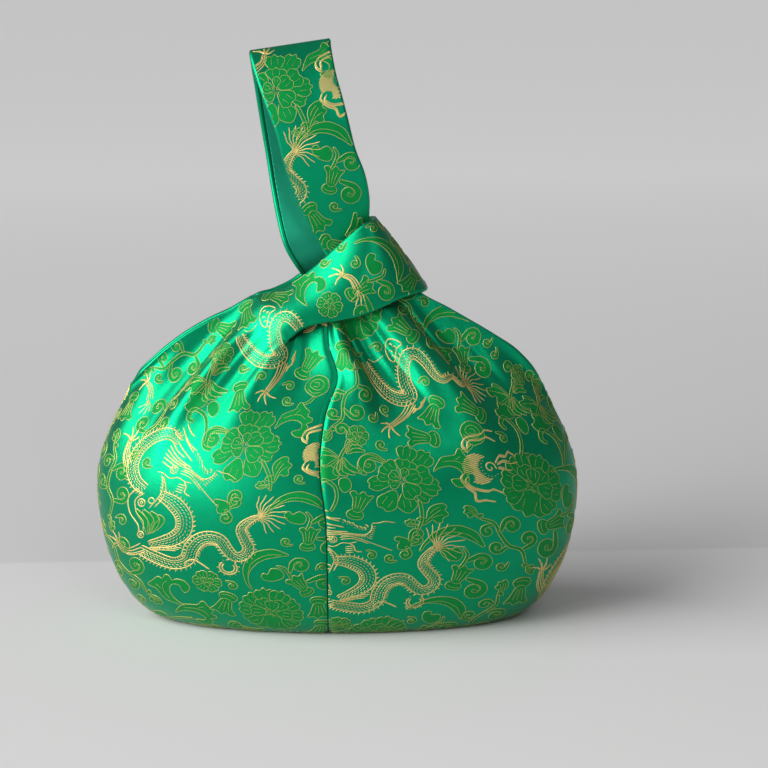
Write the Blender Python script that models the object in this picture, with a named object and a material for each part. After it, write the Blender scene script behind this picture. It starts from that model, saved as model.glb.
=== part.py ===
"""A small knot bag in satin brocade, closed by pulling its long handle through its short one.

The bag is two outer halves, left and right, that meet in a seam down the middle of the front, under
the base and up the back. Each half carries one handle: a strap that leaves the front of the half, makes
a loop and comes back to the rear of the same half. Inside lies a lining of the same shape.

Every half is one sheet of cloth. Its columns start on the seam under the base, climb the wall and end
on the mouth edge, run on along the strap, or end on the edge of the side opening under the handle.
Units are metres. X is to the right, Y to the back and Z up. The origin is the centre of the base.
"""

import math

import bpy
import numpy as np

# Body
BODY_WIDTH = 0.200
BODY_DEPTH = 0.088
BASE_WIDTH = 0.140
BASE_DEPTH = 0.050
WIDEST_HEIGHT = 0.056
WALL_HEIGHT = 0.080
SIDE_OPENING_HEIGHT = 0.099
SIDE_OPENING_INSET = 0.0145
SIDE_OPENING_GAP = 0.011
SEAM_OFFSET = -0.0033
SEAM_SWAY = 0.0042
FOLD_DEPTH = 0.0055

# Knot
KNOT_HEIGHT = 0.147
KNOT_OFFSET = 0.010
KNOT_CLEARANCE = 0.0010
STRAPS_APART = 0.0060
FRONT_MOUTH_DROP = 0.013
BACK_MOUTH_DROP = 0.022
MOUTH_DEPTH = 0.026

# Handles
HANDLE_WIDTH = 0.032
LONG_HANDLE_RISE = 0.0911
LONG_HANDLE_LEAN = 0.0283
LONG_HANDLE_OPENING = 0.024

# Cloth
OUTER_THICKNESS = 0.0010
LINING_THICKNESS = 0.0007
LAYER_GAP = 0.0003
SEAM_GAP = 0.0003

# How much the wall narrows and thins from its widest place upwards
WALL_NARROWING = 0.30
WALL_THINNING = 0.60
# The seam under the base ends at this share of the base, where the corners are folded in
BASE_SEAM_SHARE = 0.70
# The most that a turn of the cloth lengthens the way through it
MOST_STRETCH = 1.45

# Where the columns of a half leave the wall, as angles from the middle seam to the side
MOUTH_ANGLE = math.radians(28)
STRAP_ANGLE = math.radians(52)
SIDE_ANGLE = math.radians(90)

# Cells of a sheet, across and along
MOUTH_CELLS = 5
STRAP_CELLS = 4
SIDE_CELLS = 7
BASE_CELLS = 2
LOWER_WALL_CELLS = 5
UPPER_WALL_CELLS = 2
SHOULDER_CELLS = 8
SHORT_HANDLE_CELLS = 9
LONG_HANDLE_CELLS = 12
EVENING_ROUNDS = 8

CLOTH_THICKNESS = OUTER_THICKNESS + LAYER_GAP + LINING_THICKNESS
STRAP_DEPTH = STRAPS_APART / 2 + CLOTH_THICKNESS
KNOT_DEPTH = STRAP_DEPTH + KNOT_CLEARANCE + CLOTH_THICKNESS

# The knot is drawn in its own units, for a handle 32 wide and a knot whose outer face lies 8 from its middle
KNOT_UNIT = HANDLE_WIDTH / 32
KNOT_DEPTH_UNIT = KNOT_DEPTH / 8

# The short handle's lower edge and upper edge, from its foot at the left to its turn at the right
SHORT_LOWER_EDGE = [(-29, 21.5, -25), (-22.5, 21.5, -20), (-14, 20.5, -18), (-5, 19.5, -17), (4, 18.5, -14.5),
                    (13, 16.5, -10.5), (20.5, 13, -8), (26, 7.5, -7.3), (27.5, 0, -7.5)]
SHORT_UPPER_EDGE = [(-44, 4, -11), (-35, 5.2, -8), (-25.5, 7.2, -3), (-15.5, 8.8, 5.5), (-7.5, 9.5, 12.5),
                    (-1, 9, 18), (3.2, 8, 20.4), (5.6, 5.2, 21.2), (6.2, 0, 21.4)]

# The long handle's two edges where it passes through the knot, in front and behind
LONG_LEFT_EDGE = {-1: [(-9, 8, 0), (-14.5, 5, 8), (-21.6, 6, 20.4)],
                  1: [(-13, 11.6, -14.5), (-22.5, 6, -4.5), (-31, 3.6, 9)]}
LONG_RIGHT_EDGE = {-1: [(14.5, 3.6, 0), (5.4, 2.8, 10), (3.3, 3.4, 20.5)],
                   1: [(1, 4.5, -2), (0, 4, 8), (-2, 6, 20)]}
# Its middle line from there to its top, as shares of its lean, opening and rise, and its tilt in degrees
LONG_LOOP = {-1: [(0.46, 0.74, 0.405, -7), (0.63, 0.96, 0.587, -12.2), (0.785, 0.90, 0.752, -5.3),
                  (0.912, 0.61, 0.878, -1.8), (0.982, 0.27, 0.963, 4.5), (1, 0, 1, 8.5)],
             1: [(0.70, 0.73, 0.335, 13), (0.795, 0.96, 0.516, 11), (0.884, 0.90, 0.692, 11),
                 (0.95, 0.60, 0.851, 9), (0.99, 0.27, 0.95, 9), (1, 0, 1, 8.5)]}

# The mouth edge between the seam and the strap's foot, by half and face
MOUTH_EDGE = {(-1, -1): [(-20, 13.5, -18), (-25.5, 16, -25), (-29, 19.5, -26.5)],
              (-1, 1): [(-18.5, 14.5, -23.5), (-24, 17, -26.5), (-28, 20, -27)],
              (1, -1): [(-11, 14, -11), (-9.5, 12, -8), (-9, 10, -4.5)],
              (1, 1): []}
# How high the side opening's edge still is, from the strap's foot to the opening's lowest point
SIDE_EDGE_RISE = {-1: [1, 0.865, 0.75, 0.62, 0.455, 0.245, 0], 1: [1, 0.81, 0.69, 0.57, 0.44, 0.28, 0]}

# Folds that run down from the knot: place and width as shares of the way to the side, height as a share of
# the fold depth, and length as a share of the knot's height
FRONT_FOLDS = {-1: [(0.10, 0.060, -0.76, 0.36), (0.25, 0.065, 0.55, 0.55), (0.37, 0.045, -0.62, 0.50),
                    (0.48, 0.045, 0.58, 0.62), (0.64, 0.085, -0.47, 0.75), (0.80, 0.080, 0.22, 0.50)],
               1: [(0.07, 0.050, 0.58, 0.55), (0.20, 0.075, -1.0, 0.55), (0.40, 0.085, 0.62, 0.75),
                   (0.58, 0.070, -0.40, 0.60), (0.76, 0.080, 0.24, 0.50)]}
BACK_FOLDS = [(0.30, 0.10, -0.36, 0.5), (0.52, 0.09, 0.29, 0.5), (0.74, 0.10, -0.25, 0.5)]

EMERALD_SATIN = (0.0, 0.36, 0.17, 1.0)
LINING_SATIN = (0.02, 0.38, 0.21, 1.0)


def clear_scene():
    for obj in list(bpy.data.objects):
        bpy.data.objects.remove(obj, do_unlink=True)


def satin(name, colour, roughness):
    material = bpy.data.materials.new(name)
    material.use_nodes = True
    shader = material.node_tree.nodes["Principled BSDF"]
    shader.inputs["Base Color"].default_value = colour
    shader.inputs["Roughness"].default_value = roughness
    shader.inputs["Metallic"].default_value = 0.0
    return material


# Curves

def smooth_step(value):
    value = min(max(value, 0.0), 1.0)
    return value * value * (3 - 2 * value)


def bump(value, centre, width):
    return math.exp(-(((value - centre) / width) ** 2))


def through(points, position):
    """The point at position 0 to 1 on a smooth curve through the points, with equal steps between them."""
    points = np.asarray(points, float)
    last = len(points) - 1
    scaled = min(max(position, 0.0), 1.0) * last
    index = min(int(scaled), last - 1)
    step = scaled - index
    before = points[index - 1] if index > 0 else 2 * points[0] - points[1]
    after = points[index + 2] if index + 2 <= last else 2 * points[last] - points[last - 1]
    start, end = points[index], points[index + 1]
    return 0.5 * (
        2 * start
        + (end - before) * step
        + (2 * before - 5 * start + 4 * end - after) * step**2
        + (3 * start - before - 3 * end + after) * step**3
    )


def hermite(start, start_slope, end, end_slope, position):
    p, p2, p3 = position, position**2, position**3
    return (
        (2 * p3 - 3 * p2 + 1) * start
        + (p3 - 2 * p2 + p) * start_slope
        + (3 * p2 - 2 * p3) * end
        + (p3 - p2) * end_slope
    )


def unit(vector):
    return vector / np.linalg.norm(vector)


# The wall of the body. side is -1 for the left half and 1 for the right, face -1 for the front and 1 for the back

def wall_half(base, widest, height, loss):
    """Half the body's width or depth at a height: it swells from the base and then draws in."""
    if height < WIDEST_HEIGHT:
        turn = math.acos(1 - height / WIDEST_HEIGHT)
        return (base + (widest - base) * math.sin(turn)) / 2
    return widest / 2 * (1 - loss * (height / WIDEST_HEIGHT - 1) ** 2)


def on_wall(side, face, angle, height):
    half_width = wall_half(BASE_WIDTH, BODY_WIDTH, height, WALL_NARROWING)
    half_depth = wall_half(BASE_DEPTH, BODY_DEPTH, height, WALL_THINNING)
    x = SEAM_OFFSET + (side * half_width - SEAM_OFFSET) * math.sin(angle)
    return np.array([x, face * half_depth * math.cos(angle), height])


def on_base(side, face, angle, share):
    """A point of the base, from the seam under it (0) to its rim (1)."""
    rim = on_wall(side, face, angle, 0.0)
    start = np.array([SEAM_OFFSET + (rim[0] - SEAM_OFFSET) * BASE_SEAM_SHARE, 0.0, 0.0])
    return start + (rim - start) * share


def seam_sway(face, angle, height):
    """How far the cloth near the middle seam leans to the side: the knot pulls the front one askew."""
    if face > 0:
        return 0.0
    lean = bump(height, 0.73 * KNOT_HEIGHT, 0.061 * KNOT_HEIGHT) - 0.67 * bump(
        height, 0.51 * KNOT_HEIGHT, 0.122 * KNOT_HEIGHT
    )
    return lean * SEAM_SWAY * (1 - smooth_step(angle / 0.5))


def fold_height(side, face, angle, height):
    """How far the cloth stands out of the plain body."""
    place = angle / SIDE_ANGLE
    down = (KNOT_HEIGHT - height) / KNOT_HEIGHT
    total = 0.0
    for centre, width, share, length in BACK_FOLDS if face > 0 else FRONT_FOLDS[side]:
        total += share * bump(place, centre + 0.10 * down, width) * (1 - smooth_step(down / length))
    return total * FOLD_DEPTH * smooth_step(place / 0.05)


# The handles

def knot_point(face, place):
    x, y, z = place
    return np.array([KNOT_OFFSET + x * KNOT_UNIT, face * y * KNOT_DEPTH_UNIT, KNOT_HEIGHT + z * KNOT_UNIT])


def short_handle(face, across, along):
    """A point of the short handle, from its foot on one face (0) to its turn round the long handle (1).

    across is 0 at the lower edge, which runs on from the mouth edge, and 1 at the upper edge.
    """
    low = through([knot_point(face, place) for place in SHORT_LOWER_EDGE], along)
    high = through([knot_point(face, place) for place in SHORT_UPPER_EDGE], along)
    swell = 0.13 * HANDLE_WIDTH * 4 * across * (1 - across) * (1 - 0.55 * along)
    way = np.array([0.35 * along**3, face * (1 - along**4), 0.25 * (1 - along)])
    return low + (high - low) * across + swell * way


def long_handle_edge(face, edge):
    """The points of the long handle's left edge (-1) or right edge (1), from its foot to its top."""
    in_knot = LONG_LEFT_EDGE[face] if edge < 0 else LONG_RIGHT_EDGE[face]
    points = [knot_point(face, place) for place in in_knot]
    for lean, opening, rise, tilt in LONG_LOOP[face]:
        tilt = math.radians(tilt)
        reach = edge * HANDLE_WIDTH / 2
        points.append(np.array([
            KNOT_OFFSET - lean * LONG_HANDLE_LEAN + reach * math.cos(tilt),
            face * opening * LONG_HANDLE_OPENING / 2,
            KNOT_HEIGHT + rise * LONG_HANDLE_RISE + reach * math.sin(tilt),
        ]))
    return points


def long_handle(face, across, along):
    """A point of the long handle, from its foot on one face (0) to its top (1), across from left to right."""
    left = through(long_handle_edge(face, -1), along)
    right = through(long_handle_edge(face, 1), along)
    swell = 0.028 * HANDLE_WIDTH * 4 * across * (1 - across) * math.sin(math.pi * min(along, 0.97))
    return left + (right - left) * across + np.array([0.0, face * swell, 0.0])


def handle_of(side):
    return short_handle if side < 0 else long_handle


# The upper edge of the body

def mouth_edge(side, face, share):
    """The hidden edge of the mouth, from the seam (0) to the strap's foot (1)."""
    drop = FRONT_MOUTH_DROP if face < 0 else BACK_MOUTH_DROP
    top = np.array([SEAM_OFFSET, face * MOUTH_DEPTH / 2, KNOT_HEIGHT - drop])
    between = [knot_point(face, place) for place in MOUTH_EDGE[side, face]]
    return through([top, *between, handle_of(side)(face, 0.0, 0.0)], share)


def side_edge(side, face, share):
    """The edge of the side opening, from the strap's foot (0) to its lowest point at the bag's side (1)."""
    start = handle_of(side)(face, 1.0, 0.0)
    end = np.array([side * (BODY_WIDTH / 2 - SIDE_OPENING_INSET), 0.0, SIDE_OPENING_HEIGHT])
    reach = 1 - (1 - share) ** 1.3
    rise = float(through([[value] for value in SIDE_EDGE_RISE[side]], reach)[0])
    y = start[1] + (face * SIDE_OPENING_GAP / 2 - start[1]) * smooth_step(reach / 0.45)
    y *= math.sqrt(1 - max(0.0, (reach - 0.72) / 0.28) ** 2)
    return np.array([start[0] + (end[0] - start[0]) * reach, y, end[2] + (start[2] - end[2]) * rise])


def top_of_column(side, face, column):
    """Where a column of the body ends, and the direction in which the cloth runs there."""
    handle = handle_of(side)
    upward = np.array([0.0, 0.0, 1.0])
    seam_way = np.array([0.0, -0.45 * face, 1.0])
    side_way = np.array([-0.35 * side, 0.0, 1.0])
    inner_way, middle_way, outer_way = (
        unit(handle(face, across, 0.001) - handle(face, across, 0.0)) for across in (0.0, 0.5, 1.0)
    )
    if column < MOUTH_CELLS:
        share = column / MOUTH_CELLS
        way = seam_way + (inner_way + upward - seam_way) * smooth_step(share)
        return mouth_edge(side, face, share), unit(way)
    if column <= MOUTH_CELLS + STRAP_CELLS:
        across = (column - MOUTH_CELLS) / STRAP_CELLS
        corner_way = (inner_way if across < 0.5 else outer_way) + upward
        return handle(face, across, 0.0), unit(middle_way + (corner_way - middle_way) * (2 * across - 1) ** 2)
    share = (column - MOUTH_CELLS - STRAP_CELLS) / SIDE_CELLS
    way = outer_way + upward
    return side_edge(side, face, share), unit(way + (side_way - way) * smooth_step(share * 1.6))


def angle_of_column(column):
    if column <= MOUTH_CELLS:
        return MOUTH_ANGLE * column / MOUTH_CELLS
    column -= MOUTH_CELLS
    if column <= STRAP_CELLS:
        return MOUTH_ANGLE + (STRAP_ANGLE - MOUTH_ANGLE) * column / STRAP_CELLS
    return STRAP_ANGLE + (SIDE_ANGLE - STRAP_ANGLE) * (column - STRAP_CELLS) / SIDE_CELLS


def column_points(side, face, column):
    """All points of a column, from the seam under the base to its top, without the folds."""
    angle = angle_of_column(column)
    points = [on_base(side, face, angle, row / BASE_CELLS) for row in range(BASE_CELLS)]
    for row in range(LOWER_WALL_CELLS):
        height = WIDEST_HEIGHT * (1 - math.cos(math.pi / 2 * row / LOWER_WALL_CELLS))
        points.append(on_wall(side, face, angle, height))
    for row in range(UPPER_WALL_CELLS):
        height = WIDEST_HEIGHT + (WALL_HEIGHT - WIDEST_HEIGHT) * row / UPPER_WALL_CELLS
        points.append(on_wall(side, face, angle, height))
    start = on_wall(side, face, angle, WALL_HEIGHT)
    start_way = unit(start - on_wall(side, face, angle, 0.98 * WALL_HEIGHT))
    end, end_way = top_of_column(side, face, column)
    reach = np.linalg.norm(end - start)
    for row in range(SHOULDER_CELLS + 1):
        share = row / SHOULDER_CELLS
        points.append(hermite(start, 0.9 * reach * start_way, end, 0.75 * reach * end_way, share))
    return points


# The sheet of one half

COLUMNS = MOUTH_CELLS + STRAP_CELLS + SIDE_CELLS
WALL_TOP_ROW = BASE_CELLS + LOWER_WALL_CELLS + UPPER_WALL_CELLS
TOP_ROW = WALL_TOP_ROW + SHOULDER_CELLS


def body_grids(side):
    """The points of one half's body, and for each face the index of the point at a column and a row."""
    points, grids = [], {}
    for face in (-1, 1):
        grid = []
        for column in range(COLUMNS + 1):
            if face > 0 and column == COLUMNS:
                grid.append(grids[-1][COLUMNS])
                continue
            indices = []
            for row, point in enumerate(column_points(side, face, column)):
                if face > 0 and row == 0:
                    indices.append(grids[-1][column][0])
                    continue
                indices.append(len(points))
                points.append(point)
            grid.append(indices)
        grids[face] = grid
    return points, grids


def body_quads(side, grids):
    quads = []
    for face, grid in grids.items():
        for left, right in zip(grid, grid[1:]):
            for row in range(TOP_ROW):
                quad = [left[row], right[row], right[row + 1], left[row + 1]]
                quads.append(quad if side * face < 0 else quad[::-1])
    return quads


def handle_quads(side, points, grids):
    """Adds the handle's points, and gives its quads from the front of the half to its back."""
    cells = SHORT_HANDLE_CELLS if side < 0 else LONG_HANDLE_CELLS
    feet = {face: [grids[face][MOUTH_CELLS + i][TOP_ROW] for i in range(STRAP_CELLS + 1)] for face in (-1, 1)}
    rows = [feet[-1]]
    for step in range(1, 2 * cells):
        face = -1 if step <= cells else 1
        along = 1 - abs(step / cells - 1)
        rows.append(list(range(len(points), len(points) + STRAP_CELLS + 1)))
        points += [handle_of(side)(face, i / STRAP_CELLS, along) for i in range(STRAP_CELLS + 1)]
    rows.append(feet[1])
    quads = []
    for low, high in zip(rows, rows[1:]):
        for i in range(STRAP_CELLS):
            quad = [low[i], low[i + 1], high[i + 1], high[i]]
            quads.append(quad if side > 0 else quad[::-1])
    return quads


def even_out(points, grids):
    """Evens out the cells between the wall and the columns' tops."""
    for _ in range(EVENING_ROUNDS):
        before = points.copy()
        for grid in grids.values():
            for column in range(1, COLUMNS):
                for row in range(WALL_TOP_ROW + 1, TOP_ROW):
                    here = grid[column][row]
                    around = [grid[column - 1][row], grid[column + 1][row],
                              grid[column][row - 1], grid[column][row + 1]]
                    share = 0.5 * smooth_step((row - WALL_TOP_ROW) / 4)
                    points[here] = before[here] + (before[around].mean(0) - before[here]) * share


def triangles_of(points, quads):
    """Each quad as two triangles, cut along its shorter diagonal."""
    triangles = []
    for a, b, c, d in quads:
        if np.linalg.norm(points[a] - points[c]) <= np.linalg.norm(points[b] - points[d]):
            triangles += [(a, b, c), (a, c, d)]
        else:
            triangles += [(a, b, d), (b, c, d)]
    return np.array(triangles)


def normals_of(points, triangles):
    """The normals at the points, as long as it takes to keep a layer's thickness where the sheet turns."""
    normals = np.zeros_like(points)
    whole = np.zeros(len(points))
    corners = points[triangles]
    flat = np.cross(corners[:, 1] - corners[:, 0], corners[:, 2] - corners[:, 0])
    flat /= np.linalg.norm(flat, axis=1, keepdims=True)
    for corner in range(3):
        one = corners[:, (corner + 1) % 3] - corners[:, corner]
        two = corners[:, (corner + 2) % 3] - corners[:, corner]
        cosine = (one * two).sum(1) / np.linalg.norm(one, axis=1) / np.linalg.norm(two, axis=1)
        angle = np.arccos(np.clip(cosine, -1, 1))
        np.add.at(normals, triangles[:, corner], flat * angle[:, None])
        np.add.at(whole, triangles[:, corner], angle)
    length = np.linalg.norm(normals, axis=1)
    return normals * np.minimum(whole / length, MOST_STRETCH)[:, None] / length[:, None]


def add_folds(side, points, grids, normals):
    for face, grid in grids.items():
        for column in range(COLUMNS + 1):
            angle = angle_of_column(column)
            for row in range(BASE_CELLS + 1, TOP_ROW + 1):
                here = grid[column][row]
                height = points[here][2]
                stand = fold_height(side, face, angle, height) * smooth_step((TOP_ROW - row) / 4)
                points[here] += normals[here] * stand
                points[here][0] += seam_sway(face, angle, height)


def sheet_of(side):
    """The outer face of one half: its points, triangles and normals."""
    points, grids = body_grids(side)
    quads = body_quads(side, grids) + handle_quads(side, points, grids)
    points = np.array(points)
    even_out(points, grids)
    triangles = triangles_of(points, quads)
    add_folds(side, points, grids, normals_of(points, triangles))
    normals = normals_of(points, triangles)
    for grid in grids.values():
        for here in grid[0]:
            points[here][0] += side * SEAM_GAP / 2
            normals[here][0] = side * min(side * normals[here][0], 0.0)
    return points, triangles, normals


def rim_of(triangles):
    """The directed edges that only one triangle has."""
    edges = {(t[i], t[(i + 1) % 3]) for t in triangles.tolist() for i in range(3)}
    return [edge for edge in sorted(edges) if (edge[1], edge[0]) not in edges]


def layer(name, sheet, near, far, material, collection):
    """A closed layer of cloth that lies between two depths behind the outer face of a sheet."""
    points, triangles, normals = sheet
    count = len(points)
    both = np.concatenate([points - normals * near, points - normals * far])
    faces = triangles.tolist() + (triangles[:, ::-1] + count).tolist()
    faces += [(b, a, a + count, b + count) for a, b in rim_of(triangles)]
    mesh = bpy.data.meshes.new(name)
    mesh.from_pydata(both.tolist(), [], faces)
    mesh.shade_smooth()
    mesh.set_sharp_from_angle(angle=math.radians(50))
    mesh.materials.append(material)
    obj = bpy.data.objects.new(name, mesh)
    collection.objects.link(obj)
    return obj


def build():
    clear_scene()
    collection = bpy.data.collections.new("knot_bag")
    bpy.context.scene.collection.children.link(collection)
    brocade = satin("green_brocade", EMERALD_SATIN, 0.38)
    plain = satin("green_lining", LINING_SATIN, 0.45)
    lining_depth = OUTER_THICKNESS + LAYER_GAP
    for side, name in ((-1, "short_side"), (1, "long_side")):
        sheet = sheet_of(side)
        layer("outer_" + name, sheet, 0.0, OUTER_THICKNESS, brocade, collection)
        layer("lining_" + name, sheet, lining_depth, lining_depth + LINING_THICKNESS, plain, collection)


build()
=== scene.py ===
"""The looks of a small knot bag in green satin brocade: its cloth, woven pattern, floor, light and camera.

Each half of the bag is a sheet of brocade over a sheet of lining. A sheet's columns start on the seam
under the base, climb the wall and end on the mouth edge, run on along the handle, or end on the edge of
the side opening. Every sheet is drawn on a coarse grid first and then refined with smooth curves.
Places are in metres; the woven pattern is drawn in millimetres on the flat cloth.
"""

import math

import bpy
import numpy as np
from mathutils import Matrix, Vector
from mathutils.bvhtree import BVHTree
from mathutils.geometry import delaunay_2d_cdt


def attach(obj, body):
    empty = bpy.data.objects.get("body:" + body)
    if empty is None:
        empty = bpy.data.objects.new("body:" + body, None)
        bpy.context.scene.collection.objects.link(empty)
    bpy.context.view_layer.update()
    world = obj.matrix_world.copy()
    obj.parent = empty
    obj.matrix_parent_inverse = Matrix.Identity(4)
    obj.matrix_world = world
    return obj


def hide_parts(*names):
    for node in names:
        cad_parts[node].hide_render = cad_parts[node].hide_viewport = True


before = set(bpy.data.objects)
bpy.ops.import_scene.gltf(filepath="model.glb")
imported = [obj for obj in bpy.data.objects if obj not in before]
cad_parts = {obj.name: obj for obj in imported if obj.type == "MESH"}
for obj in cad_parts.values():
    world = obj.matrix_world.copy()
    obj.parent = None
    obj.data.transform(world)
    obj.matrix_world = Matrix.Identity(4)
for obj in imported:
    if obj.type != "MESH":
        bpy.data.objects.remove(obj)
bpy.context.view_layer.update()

# Body
BODY_WIDTH = 0.200
BODY_DEPTH = 0.088
BASE_WIDTH = 0.140
BASE_DEPTH = 0.050
WIDEST_HEIGHT = 0.056
WALL_HEIGHT = 0.080
SIDE_OPENING_HEIGHT = 0.099
SIDE_OPENING_INSET = 0.0145
SIDE_OPENING_GAP = 0.011
SIDE_OPENING_CLOSES = 0.45
SIDE_OPENING_ROUNDS = 0.72
SIDE_EDGE_EASE = 1.3
SEAM_OFFSET = -0.0033
SEAM_SWAY = 0.0042
SWAY_REACH = 0.5
FOLD_DEPTH = 0.0070
FOLD_DRIFT = 0.10
FOLDS_START = 0.05
FADE_ROWS = 4
WALL_PULL = 0.90
TOP_PULL = 0.75

# Knot
KNOT_HEIGHT = 0.147
KNOT_OFFSET = 0.010
KNOT_CLEARANCE = 0.0010
STRAPS_APART = 0.0060
FRONT_MOUTH_DROP = 0.013
BACK_MOUTH_DROP = 0.022
MOUTH_DEPTH = 0.026

# Handles
HANDLE_WIDTH = 0.032
SHORT_HANDLE_SWELL = 0.13
LONG_HANDLE_SWELL = 0.028
LONG_HANDLE_ARCH = 0.97
LONG_HANDLE_RISE = 0.0911
LONG_HANDLE_LEAN = 0.0283
LONG_HANDLE_OPENING = 0.024

# Cloth
OUTER_THICKNESS = 0.0010
LINING_THICKNESS = 0.0007
LAYER_GAP = 0.0003
SEAM_GAP = 0.0003
SEAM_GROOVE = 0.0006
SEAM_GROOVE_WIDTH = 0.0012
LINING_INSET = 0.0016
WALL_NARROWING = 0.30
WALL_THINNING = 0.60
BASE_SEAM_SHARE = 0.70
MOST_STRETCH = 1.45

# Where the columns of a half leave the wall, as angles from the middle seam to the side
MOUTH_ANGLE = math.radians(28)
STRAP_ANGLE = math.radians(52)
SIDE_ANGLE = math.radians(90)

# Cells of the coarse grid, and how many fine cells each of them is cut into
MOUTH_CELLS = 5
STRAP_CELLS = 4
SIDE_CELLS = 7
BASE_CELLS = 2
LOWER_WALL_CELLS = 5
UPPER_WALL_CELLS = 2
SHOULDER_CELLS = 8
SHORT_HANDLE_CELLS = 9
LONG_HANDLE_CELLS = 12
EVENING_ROUNDS = 8
EVENING_SHARE = 0.5
MOUTH_FINE = 8
STRAP_FINE = 8
SIDE_FINE = 5
BASE_FINE = 4
WALL_FINE = 10
SHOULDER_FINE = 8
HANDLE_FINE = 8
SEAM_FINE = [0.0, 0.05, 0.10, 0.15, 0.22, 0.30, 0.40, 0.52, 0.66, 0.82]

CLOTH_THICKNESS = OUTER_THICKNESS + LAYER_GAP + LINING_THICKNESS
STRAP_DEPTH = STRAPS_APART / 2 + CLOTH_THICKNESS
KNOT_DEPTH = STRAP_DEPTH + KNOT_CLEARANCE + CLOTH_THICKNESS
KNOT_UNIT = HANDLE_WIDTH / 32
KNOT_DEPTH_UNIT = KNOT_DEPTH / 8
COLUMNS = MOUTH_CELLS + STRAP_CELLS + SIDE_CELLS
WALL_TOP_ROW = BASE_CELLS + LOWER_WALL_CELLS + UPPER_WALL_CELLS
TOP_ROW = WALL_TOP_ROW + SHOULDER_CELLS

# The knot, in units of a handle 32 wide and a knot whose outer face lies 8 from its middle
SHORT_LOWER_EDGE = [(-29, 21.5, -25), (-22.5, 21.5, -20), (-14, 20.5, -18), (-5, 19.5, -17), (4, 18.5, -14.5),
                    (13, 16.5, -10.5), (20.5, 13, -8), (26, 7.5, -7.3), (27.5, 0, -7.5)]
SHORT_UPPER_EDGE = [(-44, 4, -11), (-35, 5.2, -8), (-25.5, 7.2, -3), (-15.5, 8.8, 5.5), (-7.5, 9.5, 12.5),
                    (-1, 9, 18), (3.2, 8, 20.4), (5.6, 5.2, 21.2), (6.2, 0, 21.4)]
LONG_LEFT_EDGE = {-1: [(-9, 8, 0), (-14.5, 5, 8), (-21.6, 6, 20.4)],
                  1: [(-13, 11.6, -14.5), (-22.5, 6, -4.5), (-31, 3.6, 9)]}
LONG_RIGHT_EDGE = {-1: [(14.5, 3.6, 0), (5.4, 2.8, 10), (3.3, 3.4, 20.5)],
                   1: [(1, 4.5, -2), (0, 4, 8), (-2, 6, 20)]}
LONG_LOOP = {-1: [(0.46, 0.74, 0.405, -7), (0.63, 0.96, 0.587, -12.2), (0.785, 0.90, 0.752, -5.3),
                  (0.912, 0.61, 0.878, -1.8), (0.982, 0.27, 0.963, 4.5), (1, 0, 1, 8.5)],
             1: [(0.70, 0.73, 0.335, 13), (0.795, 0.96, 0.516, 11), (0.884, 0.90, 0.692, 11),
                 (0.95, 0.60, 0.851, 9), (0.99, 0.27, 0.95, 9), (1, 0, 1, 8.5)]}
MOUTH_EDGE = {(-1, -1): [(-20, 13.5, -18), (-25.5, 16, -25), (-29, 19.5, -26.5)],
              (-1, 1): [(-18.5, 14.5, -23.5), (-24, 17, -26.5), (-28, 20, -27)],
              (1, -1): [(-11, 14, -11), (-9.5, 12, -8), (-9, 10, -4.5)],
              (1, 1): []}
SIDE_EDGE_RISE = {-1: [1, 0.865, 0.75, 0.62, 0.455, 0.245, 0], 1: [1, 0.81, 0.69, 0.57, 0.44, 0.28, 0]}

# Bends of the front seam: place and width as shares of the knot's height, and reach as a share of the sway
SEAM_BENDS = [(0.73, 0.061, 1.0), (0.51, 0.122, -0.67)]

# Folds that run down from the knot: place and width as shares of the way to the side, height as a share of
# the fold depth, and length as a share of the knot's height
FRONT_FOLDS = {-1: [(0.10, 0.060, -0.76, 0.36), (0.25, 0.065, 0.55, 0.55), (0.37, 0.045, -0.62, 0.50),
                    (0.48, 0.045, 0.58, 0.62), (0.64, 0.085, -0.47, 0.75), (0.80, 0.080, 0.22, 0.50),
                    (0.17, 0.022, -0.36, 0.36), (0.31, 0.020, -0.40, 0.44), (0.43, 0.018, -0.34, 0.46),
                    (0.57, 0.024, -0.34, 0.55)],
               1: [(0.07, 0.050, 0.58, 0.55), (0.20, 0.075, -1.0, 0.55), (0.40, 0.085, 0.62, 0.75),
                   (0.58, 0.070, -0.40, 0.60), (0.76, 0.080, 0.24, 0.50), (0.135, 0.022, -0.55, 0.42),
                   (0.29, 0.024, -0.48, 0.48), (0.49, 0.024, -0.40, 0.46), (0.67, 0.024, -0.24, 0.40)]}
BACK_FOLDS = [(0.30, 0.10, -0.36, 0.5), (0.52, 0.09, 0.29, 0.5), (0.74, 0.10, -0.25, 0.5)]

# The gloss of the satin
CLOTH_SHEEN = 0.04
CLOTH_SPECULAR = 0.15
GLOSS_PLAY = 0.05
THREAD_RELIEF = 0.00006
LINE_DISTORTION = 0.6
COLOUR_PLAY_SCALE = 0.22
COLOUR_PLAY_DETAIL = 4.0

# The look of each cloth: the material's name, two colours, metallic, roughness, then the width of its fine
# lines in millimetres, their turn in degrees and the strength of their relief
CLOTH_LOOKS = {
    "brocade": ("brocade", (0.0, 0.32, 0.140, 1), (0.0, 0.22, 0.092, 1), 0.82, 0.33, 0.30, 90, 0.25),
    "lining": ("lining", (0.015, 0.36, 0.21, 1), (0.015, 0.30, 0.18, 1), 0.80, 0.40, 0.35, 0, 0.25),
    "gold": ("gold_thread", (0.72, 0.58, 0.22, 1), (0.34, 0.27, 0.07, 1), 0.70, 0.40, 0.55, 0, 0.9),
    "line": ("outline_thread", (0.50, 0.52, 0.17, 1), (0.10, 0.22, 0.035, 1), 0.60, 0.45, 0.90, 0, 0.9),
    "silk": ("leaf_silk", (0.0, 0.28, 0.055, 1), (0.0, 0.15, 0.026, 1), 0.55, 0.48, 0.62, 45, 0.7),
}

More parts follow.
